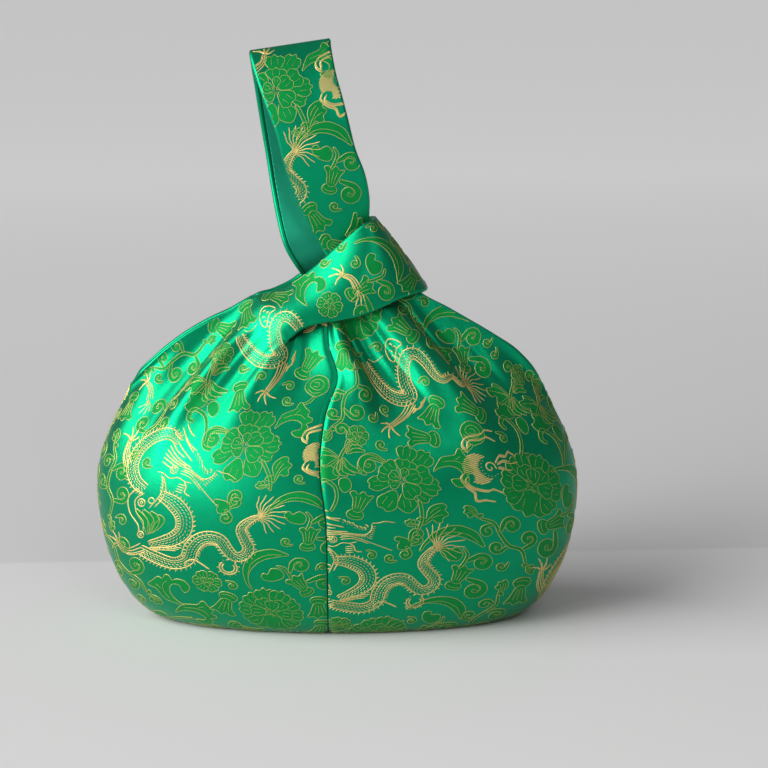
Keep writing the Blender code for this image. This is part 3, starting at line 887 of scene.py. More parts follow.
class Drawing:
    """Gold threads, thin outline threads and filled shapes of one motif."""

    def __init__(self):
        self.gold = []
        self.line = []
        self.fills = []

    def gold_stroke(self, points, width=GOLD_WIDTH, closed=False):
        self.gold.append((spline(points, closed), width))

    def gold_dash(self, start, end, width=GOLD_WIDTH):
        self.gold.append((evened(np.array([start, end], float)), width))

    def outline(self, points, closed=False, width=LINE_WIDTH):
        self.line.append((spline(points, closed), width))

    def fill(self, edge, above):
        self.fills.append(edge[:-1])
        self.line += [(run, LINE_WIDTH) for run in visible_runs(edge, above)]
        return edge[:-1]

    def shape(self, points, above=()):
        """A filled shape with its outline, drawn where the shapes above leave it free."""
        return self.fill(spline(points, closed=True), above)

    def band(self, path, widths, above=()):
        """A filled band along a path, as wide as the widths say at even steps along it."""
        line = spline(path, step=1.0)
        wide = np.interp(np.linspace(0, 1, len(line)), np.linspace(0, 1, len(widths)), widths)
        reach = across_line(line) * wide[:, None] / 2
        edge = np.concatenate([line + reach, (line - reach)[::-1], (line + reach)[:1]])
        return self.fill(evened(edge), above)

    def put(self, other, place, degrees=0, scale=1.0, mirrored=False):
        """Adds another drawing, turned clockwise and scaled, at a place."""
        def moved(points):
            points = points * [-scale if mirrored else scale, scale]
            return rotated(points, degrees) + place
        self.gold += [(moved(points), width) for points, width in other.gold]
        self.line += [(moved(points), width) for points, width in other.line]
        self.fills += [moved(points) for points in other.fills]

    def spots(self):
        """Points a millimetre apart all over the drawing, which tell where it lies."""
        inner = [shape.mean(0) + (shape - shape.mean(0)) * size
                 for shape in self.fills for size in (1.0, 0.66, 0.33)]
        points = np.concatenate([points for points, _ in self.gold + self.line] + inner)
        return np.unique(np.round(points), axis=0)


# Flowers and leaves

# The petals of a peony, the lowest first: degrees from its top, where it starts and ends, width and lobes
PEONY_PETALS = [
    (165, 5.0, 14.0, 7.6, 1), (-154, 5.5, 15.6, 8.2, 2), (-104, 4.0, 13.8, 6.4, 2), (-78, 3.8, 9.9, 6.0, 2),
    (-46, 3.8, 10.4, 7.8, 3), (120, 6.0, 13.2, 6.2, 2), (94, 6.0, 14.9, 7.6, 3), (39, 8.0, 17.6, 7.4, 3),
    (9, 8.0, 15.8, 8.2, 3), (66, 5.0, 12.4, 8.4, 2), (12, 4.0, 9.8, 8.6, 3), (62, 1.6, 8.2, 6.6, 2),
    (136, 1.4, 8.8, 7.6, 2), (-118, 1.0, 5.6, 4.6, 2), (-58, 1.0, 5.8, 4.8, 2), (14, 1.6, 6.0, 3.4, 1),
]
STAMENS = [(-0.8, 1.4), (-1.9, -0.4), (-0.3, -0.8), (0.9, 0.7), (0.6, -2.0), (-2.0, 1.6)]


def petal(degrees, start, end, width, lobes):
    """The outline of a petal: narrow at its foot, with a lobed rim."""
    side = [(0.12, 0.0), (0.36, 0.30), (0.50, 0.64)]
    rim = []
    for i in range(lobes):
        middle = (i + 0.5) / lobes - 0.5
        rim.append((middle * 0.95, 1.0 - 1.1 * middle**2))
        if i < lobes - 1:
            notch = (i + 1) / lobes - 0.5
            rim.append((notch * 0.92, 0.86 - 1.1 * notch**2))
    outline = [(-x, y) for x, y in side] + rim + side[::-1]
    return rotated([(x * width, start + y * (end - start)) for x, y in outline], degrees)


def flower(petals, stamens=()):
    drawing = Drawing()
    above = []
    for numbers in petals[::-1]:
        edge = drawing.shape(petal(*numbers), above)
        above.append(edge)
        degrees, start, end, width, _ = numbers
        for side in (-0.16, 0.16):
            vein = [(side * width, start + share * (end - start)) for share in (0.35, 0.55, 0.75)]
            for run in visible_runs(spline(rotated(vein, degrees)), above[:-1]):
                drawing.line.append((run, PETAL_VEIN_WIDTH))
    for x, y in stamens:
        ring = [(x, y + 0.6), (x + 0.6, y), (x, y - 0.6), (x - 0.6, y)]
        drawing.outline(ring, closed=True, width=VEIN_WIDTH)
    return drawing


def small_flower():
    return flower([(turn, 1.2, 5.6, 4.4, 2) for turn in range(0, 360, 60)] +
                  [(30 + turn, 0.4, 2.6, 2.4, 1) for turn in range(0, 360, 120)])


def lobed_leaf():
    """A leaf with lobes on both sides of its midrib, from its stalk at (0, 0) upwards."""
    drawing = Drawing()
    drawing.shape([(-0.7, 0.5), (-3.4, 0.4), (-2.6, 2.6), (-0.6, 3.4), (-2.2, 6.4), (-2.2, 9.6), (0.2, 13.0),
                   (2.6, 13.2), (3.0, 11.4), (5.4, 10.4), (4.6, 7.8), (5.6, 5.8), (3.8, 4.4), (1.9, 4.6),
                   (1.2, 2.0), (0.5, 0.0)])
    drawing.outline([(0.2, 1.5), (0.6, 6.0), (1.6, 10.5)])
    drawing.outline([(1.0, 4.6), (2.2, 7.2), (3.9, 9.2)], width=FINE_VEIN_WIDTH)
    drawing.outline([(-0.8, 6.0), (-0.6, 8.6), (0.4, 11.2)], width=FINE_VEIN_WIDTH)
    return drawing


def fan_leaf():
    """A broad leaf in three parts with a curl at its tip."""
    drawing = Drawing()
    drawing.shape([(0.0, 0.0), (-2.6, 1.6), (-6.6, 2.6), (-9.6, 2.0), (-9.0, 0.2), (-11.6, -1.6),
                   (-10.6, -4.0), (-8.4, -4.6), (-7.4, -3.2), (-6.2, -3.2), (-5.6, -5.4), (-3.4, -5.8),
                   (-1.8, -3.6), (-0.6, -1.4)])
    for end in ((-9.0, 1.2), (-10.2, -2.2), (-6.4, -1.0), (-3.6, -4.6)):
        drawing.outline([(-0.4, -0.2), (end[0] * 0.5, end[1] * 0.5 + 0.8), end], width=VEIN_WIDTH)
    return drawing


def finger_leaf():
    """A leaf of long fingers that curve the same way."""
    drawing = Drawing()
    for reach, lean in ((10.5, 0.0), (9.0, 2.6), (7.0, 5.0), (4.6, 6.8)):
        drawing.band([(lean * 0.2, 0.0), (lean * 0.9 + 1.6, reach * 0.45), (lean + 0.4, reach)],
                     [1.0, 2.5, 2.3, 1.1])
    return drawing


def scroll_leaf():
    """A leaf whose stalk arches over and ends in a curl, with two lobes on its back."""
    drawing = Drawing()
    drawing.shape([(0.0, 0.0), (2.6, 2.0), (6.3, 3.1), (9.2, 2.5), (10.9, 0.7), (10.3, -1.4), (8.5, -1.7),
                   (6.6, -2.5), (8.1, -4.5), (10.3, -5.0), (12.5, -3.6), (13.3, -1.0), (12.7, 0.7),
                   (14.9, 1.6), (15.1, 3.1), (13.3, 4.2), (14.2, 6.0), (12.5, 8.2), (10.7, 10.8), (9.4, 9.5),
                   (8.5, 7.9), (3.7, 6.4), (2.2, 4.6), (1.0, 2.6)])
    drawing.outline([(3.6, 4.4), (7.6, 5.4), (10.6, 4.8), (12.4, 2.6)], width=VEIN_WIDTH)
    drawing.outline([(8.6, 6.0), (10.8, 7.6)], width=FINE_VEIN_WIDTH)
    return drawing


def curl(turns=1.4, size=3.2, width=1.9):
    """A band that winds into a curl, from its foot at (0, 0)."""
    path = [(0.0, 0.0)]
    for i in range(9):
        share = i / 8
        angle = math.pi * (1.0 - 2 * turns * share)
        radius = size * (1 - 0.66 * share)
        path.append((size + radius * math.cos(angle), 1.6 * size + radius * math.sin(angle)))
    drawing = Drawing()
    drawing.band(path, [0.5 * width, width, 1.1 * width, width, 0.8 * width])
    return drawing


def sprig():
    """Three curls that spring from one leaf."""
    drawing = Drawing()
    drawing.put(curl(1.25, 2.3, 1.5), (0.6, 1.0), 8)
    drawing.put(curl(1.15, 2.0, 1.5), (-0.6, -1.0), 152)
    drawing.put(curl(1.15, 1.8, 1.4), (1.0, -0.4), 74, mirrored=True)
    drawing.shape([(-4.6, 3.4), (-2.6, 3.2), (0.4, 2.0), (1.6, 0.2), (0.8, -1.6), (-1.6, -2.6), (-3.6, -2.4),
                   (-3.9, -0.4), (-3.0, 0.8), (-5.0, 1.8)])
    return drawing


def scroll_spray(scale=1.0, mirrored=False):
    """A winding stalk with curls on both sides and a leaf at each end."""
    spray = Drawing()
    spray.band([(-13.0, -4.0), (-8.0, -1.0), (-3.0, -2.5), (2.0, -1.0), (7.0, 1.5), (12.0, 0.0)],
               [0.8, 1.2, 1.3, 1.2, 1.2, 0.8])
    spray.put(curl(1.3, 2.6, 1.9), (-8.0, -0.6), -20)
    spray.put(curl(1.2, 2.2, 1.7), (-3.0, -2.8), 170, mirrored=True)
    spray.put(curl(1.3, 2.8, 2.0), (3.0, -0.2), 15, mirrored=True)
    spray.put(curl(1.1, 2.0, 1.6), (7.0, 1.0), 150)
    spray.put(lobed_leaf(), (12.0, 0.0), 80, 0.55)
    spray.put(lobed_leaf(), (-13.0, -4.0), -110, 0.45)
    drawing = Drawing()
    drawing.put(spray, (0, 0), 0, scale, mirrored)
    return drawing


def round_bud():
    """A bud with a spiral of petals on a short stalk."""
    drawing = Drawing()
    inner = drawing.shape([(-2.4, 4.2), (-1.4, 6.6), (1.2, 7.2), (3.2, 5.6), (2.8, 3.4), (0.6, 2.4)])
    drawing.shape([(0.0, -0.6), (-3.4, 1.6), (-4.4, 4.4), (-2.6, 7.6), (0.6, 8.9), (4.2, 7.6), (5.2, 4.6),
                   (4.4, 1.8), (1.2, -0.4)], [inner])
    drawing.outline([(-0.6, 5.6), (0.8, 5.8), (1.6, 4.6), (0.4, 3.8), (-1.0, 4.2)], width=VEIN_WIDTH)
    drawing.outline([(-3.2, 3.0), (-0.8, 1.0), (2.6, 1.6)], width=VEIN_WIDTH)
    return drawing


def lily():
    """A long bell with a ribbed base."""
    drawing = Drawing()
    bell = drawing.shape([(-1.6, 0.0), (-2.8, 5.0), (-4.6, 7.6), (-2.8, 8.8), (-1.2, 7.6), (0.6, 9.4),
                          (2.4, 7.8), (4.8, 8.4), (3.4, 5.4), (1.6, 0.0)])
    for x in (-1.0, 0.0, 1.0):
        drawing.outline([(x, 0.8), (1.3 * x, 3.6), (1.9 * x, 6.8)], width=VEIN_WIDTH)
    drawing.shape([(-1.4, 0.6), (-3.4, -1.2), (-3.0, -3.4), (-0.6, -4.2), (2.2, -3.6), (3.2, -1.6),
                   (1.4, 0.6)], [bell])
    drawing.outline([(-2.8, -2.0), (-0.4, -2.8), (2.4, -2.2)], width=VEIN_WIDTH)
    return drawing


def peony_spray():
    """A peony with its stalk, leaves and scrolls."""
    drawing = Drawing()
    drawing.put(flower(PEONY_PETALS, STAMENS), (0, 0))
    drawing.put(scroll_leaf(), (12.0, 5.8))
    drawing.put(round_bud(), (28.0, 19.0), 8)
    drawing.band([(23.6, 15.6), (26.0, 16.4), (28.2, 18.6)], [0.9, 1.1, 0.8])
    drawing.band([(6.8, -7.0), (8.0, -11.0), (8.9, -16.0), (8.0, -21.0)], [1.1, 1.3, 1.2, 0.9])
    drawing.put(lobed_leaf(), (9.4, -17.6), 28, 0.92)
    drawing.put(lobed_leaf(), (8.4, -18.6), -86, 0.42)
    drawing.put(curl(1.2, 3.4, 2.2), (-6.6, 7.0), -72, mirrored=True)
    drawing.band([(-6.2, 7.4), (-11.6, 9.6), (-15.2, 7.4), (-15.8, 2.8), (-13.6, 1.0)],
                 [0.8, 1.8, 2.4, 2.6, 1.2])
    return drawing


def leaf_spray():
    """A long arched leaf over a lily, with curls and a broad leaf."""
    drawing = Drawing()
    drawing.band([(-13.0, -5.0), (-11.0, -1.0), (-6.5, 3.0), (0.0, 4.6), (6.0, 2.4), (10.4, -2.4)],
                 [0.6, 1.4, 3.4, 4.6, 4.2, 0.6])
    drawing.outline([(-9.0, 0.4), (-3.0, 3.8), (4.0, 3.0), (8.6, -0.6)], width=VEIN_WIDTH)
    drawing.shape([(-5.6, -3.6), (-3.4, -2.4), (-2.4, -4.0), (0.6, -2.8), (2.8, -5.6), (1.4, -8.8),
                   (-2.0, -8.4), (-4.6, -6.6)])
    drawing.put(curl(1.3, 3.0, 2.4), (4.4, -9.0), 60)
    drawing.put(lily(), (2.0, -19.0), 12, 0.9)
    drawing.band([(2.0, -12.4), (3.6, -9.6), (4.6, -6.0), (3.0, -3.2)], [0.8, 1.1, 1.1, 0.7])
    drawing.put(curl(1.2, 3.6, 2.6), (5.6, -17.0), 110)
    return drawing


def stem_spray():
    """A winding stem with a fan leaf, a curl and a small round flower."""
    drawing = Drawing()
    drawing.band([(0.0, -18.0), (-0.6, -12.0), (-3.4, -7.0), (-8.6, -5.4), (-9.6, -9.4), (-7.0, -10.2)],
                 [1.0, 1.1, 1.2, 1.3, 1.8, 1.2])
    drawing.shape([(-6.0, -4.6), (-9.8, -6.6), (-12.6, -4.6), (-11.0, -2.4), (-12.0, 0.2), (-8.6, 1.4),
                   (-5.4, 0.6), (-3.6, -2.0)])
    drawing.shape([(-2.0, -6.0), (-3.0, -2.8), (-0.6, -1.2), (1.6, -2.6), (2.4, -5.4), (0.8, -7.8)])
    drawing.band([(-4.8, 0.4), (-5.8, 4.0), (-6.2, 8.0), (-5.2, 15.0)], [1.0, 1.1, 1.1, 0.8])
    drawing.put(fan_leaf(), (-6.4, 5.8), 0, 0.95)
    drawing.put(finger_leaf(), (-5.2, 6.6), 108, 0.9)
    drawing.put(finger_leaf(), (-4.6, 9.0), 62, 0.7, mirrored=True)
    drawing.put(small_flower(), (-3.2, 18.0), 10, 0.85)
    drawing.put(curl(1.1, 2.2, 1.6), (-6.0, 17.0), -40, mirrored=True)
    return drawing


# Dragons

def dragon_body(drawing, path, widths, back=1):
    """A scaled body along a path, with belly bars on one side and spikes on its back."""
    line = spline(path, step=0.7)
    run = np.linspace(0, 1, len(line))
    wide = np.interp(run, np.linspace(0, 1, len(widths)), widths)[:, None]
    across = across_line(line) * back
    way = unit(np.gradient(line, axis=0))
    drawing.gold.append((line + across * wide * 0.50, 0.55))
    drawing.gold.append((line - across * wide * 0.50, 0.55))
    drawing.gold.append((line - across * wide * 0.22, 0.35))
    for i in range(1, len(line) - 1):
        if i % 2:
            reach = across[i] * wide[i]
            drawing.gold_dash(line[i] - reach * 0.48, line[i] - reach * 0.26, 0.55)
        if i % 2 == 0:
            tip = line[i] + across[i] * (wide[i] * 0.5 + 1.25) - way[i] * 0.7
            drawing.gold_dash(line[i] + across[i] * wide[i] * 0.5, tip, 0.50)
        for row, offset in enumerate((-0.08, 0.12, 0.32)):
            if (i + row) % 2 == 0:
                here = line[i] + across[i] * wide[i] * offset
                drawing.gold_dash(here - way[i] * 0.48, here + way[i] * 0.42 + across[i] * 0.2, 0.70)


def hair(drawing, root, degrees, strands, length, spread, wave=0.8):
    """A fan of wavy strands."""
    for i in range(strands):
        share = i / (strands - 1) - 0.5
        turn = degrees + spread * share
        reach = length * (1 - 0.9 * share**2)
        bent = [(wave * math.sin(2.2 * k) * k / 4 + 1.6 * share * k / 4, reach * k / 4) for k in range(5)]
        drawing.gold_stroke(rotated(bent, turn) + root, 0.48)


def claw(drawing, wrist, degrees, scale=1.0):
    """A foot with four hooked toes."""
    for turn, reach in ((-75, 5.2), (-25, 5.8), (15, 5.6), (58, 4.6)):
        toe = [(0, 0), (0.5, 0.5 * reach), (-0.2, reach)]
        drawing.gold_stroke(rotated(np.array(toe) * scale, degrees + turn) + wrist, 0.62)
        knuckle = [(0.5, 0.3), (0.9, 0.55 * reach)]
        drawing.gold_stroke(rotated(np.array(knuckle) * scale, degrees + turn) + wrist, 0.4)


def leg(drawing, path, widths, degrees, scale=1.0):
    line = spline(path, step=0.8)
    wide = np.interp(np.linspace(0, 1, len(line)), np.linspace(0, 1, len(widths)), widths)[:, None]
    across = across_line(line)
    for offset in (-0.5, -0.1, 0.28, 0.5):
        drawing.gold.append((line + across * wide * offset, 0.50))
    claw(drawing, line[-1], degrees, scale)


def dragon_head(drawing):
    strands = [
        [(-24.5, 31.6), (-20.9, 29.1), (-17.1, 27.1), (-13.2, 26.1)],
        [(-20.8, 28.6), (-17.1, 26.5), (-14.1, 25.0)],
        [(-22.6, 26.1), (-19.2, 24.4), (-15.4, 22.9), (-12.8, 21.8)],
        [(-24.4, 25.0), (-20.5, 22.9), (-16.2, 21.8)],
        [(-24.6, 23.5), (-20.5, 21.4), (-15.8, 20.1), (-11.5, 19.4)],
        [(-24.8, 21.8), (-19.2, 19.8), (-13.4, 19.0)],
        [(-24.6, 20.1), (-20.0, 19.0), (-15.4, 18.4)], [(-24.4, 18.6), (-20.0, 17.9), (-17.0, 17.3)],
        [(-24.0, 17.0), (-20.9, 16.4), (-17.9, 16.2)], [(-23.6, 33.6), (-20.6, 31.6), (-17.6, 30.6)],
        [(-26.4, 28.6), (-23.6, 27.6), (-21.0, 27.4)],
    ]
    for strand in strands:
        drawing.gold_stroke(strand, 0.62)
    for x, y in ((-12.3, 24.9), (-10.7, 23.9), (-9.2, 23.0), (-8.0, 21.6), (-6.4, 20.9), (-5.0, 20.2),
                 (-4.0, 21.4)):
        drawing.gold_stroke([(x - 0.5, y + 0.7), (x + 0.4, y + 0.2), (x + 0.5, y - 0.8)], 0.62)
        drawing.gold_stroke([(x - 0.9, y - 0.2), (x - 0.3, y - 0.9)], 0.5)
    drawing.gold_stroke([(-15.4, 18.4), (-11.5, 18.6), (-7.7, 17.7), (-4.7, 17.3), (-2.4, 19.2),
                         (-1.7, 21.8)], 0.55)
    drawing.gold_stroke([(-14.5, 17.6), (-10.8, 17.8), (-7.0, 16.9), (-4.0, 16.6)], 0.45)
    for i in range(7):
        drawing.gold_dash((-3.9 + 0.36 * i, 15.8 + 0.85 * i), (-2.5 + 0.36 * i, 14.9 + 0.95 * i), 0.45)
    for i in range(6):
        drawing.gold_dash((-9.8 + 1.1 * i, 17.0 - 0.12 * i), (-9.6 + 1.1 * i, 15.9 - 0.12 * i), 0.4)
    drawing.gold_stroke([(-15.0, 16.9), (-11.1, 17.1), (-7.7, 15.8), (-4.7, 14.1), (0.0, 11.5), (4.9, 8.8)],
                        0.40)
    drawing.gold_stroke([(-14.8, 15.9), (-11.0, 16.0), (-7.6, 14.8), (-4.0, 12.9)], 0.40)
    drawing.gold_stroke([(-1.7, 22.4), (0.9, 22.2), (3.4, 22.6), (7.3, 21.6)], 0.45)
    drawing.gold_stroke([(-23.5, 12.8), (-20.9, 13.2), (-17.5, 12.6), (-14.5, 14.1), (-11.5, 13.7),
                         (-8.5, 14.1)], 0.45)
    drawing.gold_stroke([(-11.5, 13.7), (-9.8, 12.0), (-9.4, 9.8), (-6.8, 9.0)], 0.6)
    for i in range(4):
        drawing.gold_dash((-13.2, 12.0 - 1.0 * i), (-10.1, 12.2 - 1.0 * i), 0.42)
    for radius in (0.8, 1.6):
        drawing.gold_stroke(arc(-17.7, 16.2, radius), 0.5, closed=True)


def horned_dragon():
    """A dragon with its head turned back over a body in three bends."""
    drawing = Drawing()
    dragon_head(drawing)
    dragon_body(drawing, [(-22.0, 26.5), (-28.0, 27.0), (-33.6, 22.8), (-36.6, 16.4), (-35.0, 9.6),
                          (-30.0, 5.6), (-24.4, 4.6)], [3.0, 4.6, 5.4, 5.6, 5.2, 4.0], -1)
    dragon_body(drawing, [(-17.8, 5.4), (-11.1, 4.0), (-6.0, 0.2), (-4.6, -5.6), (-8.0, -10.6),
                          (-15.6, -15.2)],
                [3.6, 6.0, 6.4, 6.2, 5.0, 2.6], 1)
    dragon_body(drawing, [(-18.4, -18.4), (-12.0, -19.6), (-5.0, -20.2), (-0.6, -17.0), (0.2, -11.6),
                          (2.4, -7.0), (6.4, -4.8), (10.2, -5.4), (13.2, -8.6), (16.4, -11.2), (19.8, -9.8),
                          (20.8, -6.2), (18.6, -2.6), (16.2, 1.2), (16.8, 4.4), (19.2, 7.6), (21.4, 9.4)],
                [4.2, 5.0, 5.0, 5.4, 5.2, 4.4, 4.2, 4.0, 3.4, 1.6], -1)
    hair(drawing, np.array([20.8, 9.6]), 62, 11, 11.5, 150)
    leg(drawing, [(-37.0, 8.4), (-41.0, 11.0), (-44.0, 16.0)], [3.4, 2.6, 1.5], -14)
    leg(drawing, [(-17.6, -17.4), (-23.0, -21.0), (-28.4, -20.2)], [3.8, 2.6, 1.5], -62)
    for offset in (0.0, 0.9, 1.8):
        drawing.gold_stroke([(-14.0, -17.2 + 0.5 * offset), (-10.0, -15.6 + offset),
                             (-5.0 + offset, -14.4 + offset)], 0.38)
    drawing.gold_stroke([(-27.0, 4.0), (-29.6, -1.0), (-27.0, -6.0), (-22.0, -9.0), (-20.4, -12.0)], 0.6)
    drawing.gold_stroke([(-24.0, 3.4), (-26.4, -0.8), (-24.0, -4.8), (-20.4, -7.0), (-19.0, -10.6)], 0.55)
    for x, y, radius in ((-23.6, -0.6, 1.5), (-23.6, -0.6, 0.6), (-19.6, -12.4, 1.3), (-19.6, -12.4, 0.5),
                         (-20.2, 1.8, 1.2)):
        drawing.gold_stroke(arc(x, y, radius), 0.55, closed=True)
    drawing.gold_stroke([(-0.6, -20.6), (-0.8, -18.4), (1.7, -16.6), (4.6, -17.6), (8.0, -19.6)], 0.75)
    for radius in (2.3, 3.3):
        drawing.gold_stroke(arc(14.7, -17.0, radius, 2.4, 7.2, 0.6), 0.65)
    inner, outer = (arc(14.7, -17.0, radius, 2.2, 7.3, 0.55) for radius in (3.2, 4.3))
    for start, end in zip(inner, outer):
        drawing.gold_dash(start, end, 0.5)
    drawing.gold_stroke([(-21.4, 12.4), (-18.8, 9.4), (-17.9, 5.0), (-20.0, -1.4)], 0.5)
    drawing.gold_stroke([(-20.0, 12.0), (-17.2, 8.8), (-16.4, 4.6), (-18.0, 0.0)], 0.5)
    for i in range(8):
        drawing.gold_dash((-20.6 + 0.45 * i, 11.8 - 1.2 * i), (-18.8 + 0.35 * i, 11.2 - 1.2 * i), 0.5)
    return drawing


def winding_dragon():
    """A dragon's winding body with its tail, a hind leg and a clenched forefoot."""
    drawing = Drawing()
    dragon_body(drawing, [(24.6, 3.6), (22.4, 2.6), (18.4, 4.8), (14.6, 2.4), (10.9, 3.6), (6.9, 8.0),
                          (2.7, 10.9), (-0.8, 9.8), (-2.4, 5.0), (-1.4, -1.3), (1.0, -6.3), (-2.3, -8.9),
                          (-7.8, -8.0), (-13.3, -3.8), (-17.4, 1.4), (-18.8, 4.6)],
                [1.4, 1.8, 2.6, 3.6, 4.4, 4.8, 5.2, 5.6, 5.4, 5.0, 4.4, 3.0], -1)
    hair(drawing, np.array([25.0, 4.2]), 62, 12, 11.0, 160)
    leg(drawing, [(1.7, -9.3), (-0.8, -15.3), (-5.8, -21.6)], [3.6, 2.4, 1.4], -150)
    for lift in (0.0, 1.6, 3.2, 4.8):
        drawing.gold_stroke([(2.2, -11.6 - 0.5 * lift), (5.4, -11.0 + 0.2 * lift),
                             (7.6 - 0.5 * lift, -5.4 - 0.6 * lift)], 0.40)
    drawing.gold_stroke([(-10.3, 11.3), (-9.8, 15.0), (-6.8, 15.8), (-3.3, 14.3), (-5.6, 11.8), (-6.3, 6.8),
                         (-8.6, 7.4)], 0.6, closed=True)
    for x, y in ((-8.2, 13.2), (-6.4, 12.4), (-8.0, 10.4), (-7.0, 8.6)):
        drawing.gold_stroke([(x - 0.8, y), (x, y + 0.8), (x + 0.7, y - 0.2)], 0.55)
    drawing.gold_stroke([(-11.0, 8.4), (-14.4, 5.6), (-17.0, 6.4)], 0.42)
    return drawing


def flaming_pearl():
    """A striped pearl with a spiral in a ring of dots, and flames that stream to one side."""
    drawing = Drawing()
    for i in range(17):
        offset = -5.6 + 0.7 * i
        half = math.sqrt(max(0.0, 6.0**2 - offset**2))
        stripe = rotated([(offset, -half), (offset, half)], 58)
        line = evened(stripe, 0.7)
        away = np.hypot(line[:, 0] - 4.4, line[:, 1] - 1.8)
        notch = np.hypot(line[:, 0] + 3.4, line[:, 1] + 4.6)
        kept = line[(away > 4.1) & (notch > 2.0)]
        if len(kept) > 1:
            drawing.gold.append((kept, 0.62))
    for i in range(9):
        turn = math.radians(150 + 22 * i)
        x, y = 4.4 + 3.5 * math.cos(turn), 1.8 + 3.5 * math.sin(turn)
        drawing.gold_stroke([(x - 0.25, y), (x + 0.25, y + 0.1)], 0.6)
    spiral = [(4.4 + (2.4 - 0.24 * i) * math.cos(0.9 * i), 1.8 + (2.4 - 0.24 * i) * math.sin(0.9 * i))
              for i in range(9)]
    drawing.gold_stroke(spiral, 0.6)
    flames = [
        [(-4.0, 5.4), (-6.2, 7.4), (-5.0, 11.0), (1.0, 13.8), (3.0, 16.0), (6.6, 16.4)],
        [(-4.2, 6.6), (-3.8, 10.0), (0.8, 11.6), (3.4, 13.4), (7.2, 12.6)],
        [(6.4, 4.0), (8.0, 7.0), (10.6, 7.4), (12.0, 9.6), (14.6, 8.8)],
        [(7.0, 3.6), (9.6, 5.4), (12.2, 5.2), (15.6, 6.4)], [(7.2, 2.4), (10.0, 2.4), (13.2, 2.8)],
        [(-5.0, -3.2), (-6.2, -6.0), (-3.4, -8.8), (-0.6, -10.2), (0.6, -13.2), (4.0, -11.8), (7.6, -11.2)],
        [(-3.6, -4.4), (-4.6, -6.4), (-1.6, -8.4), (3.6, -8.2), (6.0, -6.6), (10.2, -7.0)],
    ]
    for flame in flames:
        drawing.gold_stroke(flame, 0.75)
        drawing.gold_stroke([(x + 0.3, y + 0.6) for x, y in flame[:-1]], 0.5)
    return drawing


def loose_claw():
    drawing = Drawing()
    leg(drawing, [(-3.0, -7.0), (0.0, -3.0), (0.0, 1.0)], [3.0, 2.2, 1.4], 0)
    hair(drawing, np.array([-3.0, -7.0]), -120, 4, 7.0, 50)
    return drawing


# The pattern on the bag

# How far the pattern repeats sideways and upwards, in millimetres
REPEAT_ACROSS = np.array([114.0, 0.0])
REPEAT_UP = np.array([33.0, 72.0])
REPEATS = 5
SIGHT_STEP = 12.0
SPOT_STEP = 4
TURNS = 6
THREAD_RISE = 0.24
THREAD_SINK = -0.04
FILL_RISE = 0.11
FILL_SPACING = 1.4
MOST_STEP = 2.5

# How much of a motif may lie on others, and how much of it has to lie on the cloth
REPEAT_OVERLAP = 0.04
REPEAT_ON_CLOTH = 0.25
SMALL_OVERLAP = 0.08
SMALL_ON_CLOTH = 0.92

# Motifs that the photograph shows: the half, the motif, its pixel, its turn clockwise in degrees, and the
# point of the motif that lies at the pixel
SEEN_MOTIFS = [
    (-1, "peony_spray", (244.6, 446.5), 0, (0, 0)),
    (-1, "horned_dragon", (198.6, 522.4), 20, (0, 0)),
    (-1, "winding_dragon", (280, 342), 0, (0, 0)),
    (-1, "flaming_pearl", (318, 455), 0, (0, 0)),
    (-1, "sprig", (227, 507), 0, (0, 0)),
    (-1, "finger_leaf", (148, 534), -30, (0, 0)),
    (-1, "leaf_spray", (298, 506), 0, (0, 0)),
    (-1, "round_peony", (272, 612), 0, (0, 0)),
    (-1, "scroll_leaf", (176, 612), -10, (0, 0)),
    (-1, "left_spray", (112, 478), 78, (0, 0)),
    (-1, "scroll_spray", (126, 566), 62, (0, 0)),
    (-1, "scroll_spray", (160, 416), -34, (0, 0)),
    (-1, "loose_claw", (148, 384), -32, (0, 0)),
    (-1, "leaf_spray", (386, 258), 48, (0, 0)),
    (-1, "loose_claw", (345, 276), -70, (0, 0)),
    (1, "peony_spray", (402, 481), 0, (0, 0)),
    (1, "horned_dragon", (380, 569.5), 0, (0, 0)),
    (1, "winding_dragon", (409, 380), 0, (0, 0)),
    (1, "flaming_pearl", (478.5, 469), 0, (0, 0)),
    (1, "sprig", (408, 544), 0, (0, 0)),
    (1, "leaf_spray", (456, 541), 0, (0, 0)),
    (1, "round_peony", (533, 486), 0, (0, 0)),
    (1, "stem_spray", (523, 416), 0, (0, 0)),
    (1, "leaf_spray", (446, 322), -10, (0, 0)),
    (1, "peony_spray", (276, 91), -12, (0, 0)),
    (1, "horned_dragon", (293.5, 151), -12, (20.8, 9.6)),
    (1, "flaming_pearl", (334, 84), -8, (0, 0)),
    (1, "leaf_spray", (326, 139), 0, (0, 0)),
    (1, "finger_leaf", (346, 236), 20, (0, 0)),
    (1, "loose_claw", (264, 56), 10, (0, 0)),
]

# The motifs of one repeat, as places from its peony in millimetres
REPEATED_MOTIFS = [
    ("horned_dragon", (-9, -36.5)), ("peony_spray", (0, 0)), ("winding_dragon", (2.9, 49)),
    ("flaming_pearl", (32.6, 5)), ("round_peony", (57, -2)), ("stem_spray", (51, 27)),
    ("leaf_spray", (24, -22)), ("sprig", (2.4, -25.9)),
]

# Motifs that fill what is left free, in groups of about one size
SMALL_MOTIFS = [["scroll_spray", "stem_spray", "left_spray", "leaf_spray"],
                ["small_spray", "scroll_leaf", "lily", "small_left_spray"],
                ["smallest_spray", "sprig", "small_flower"], ["small_curl"]]


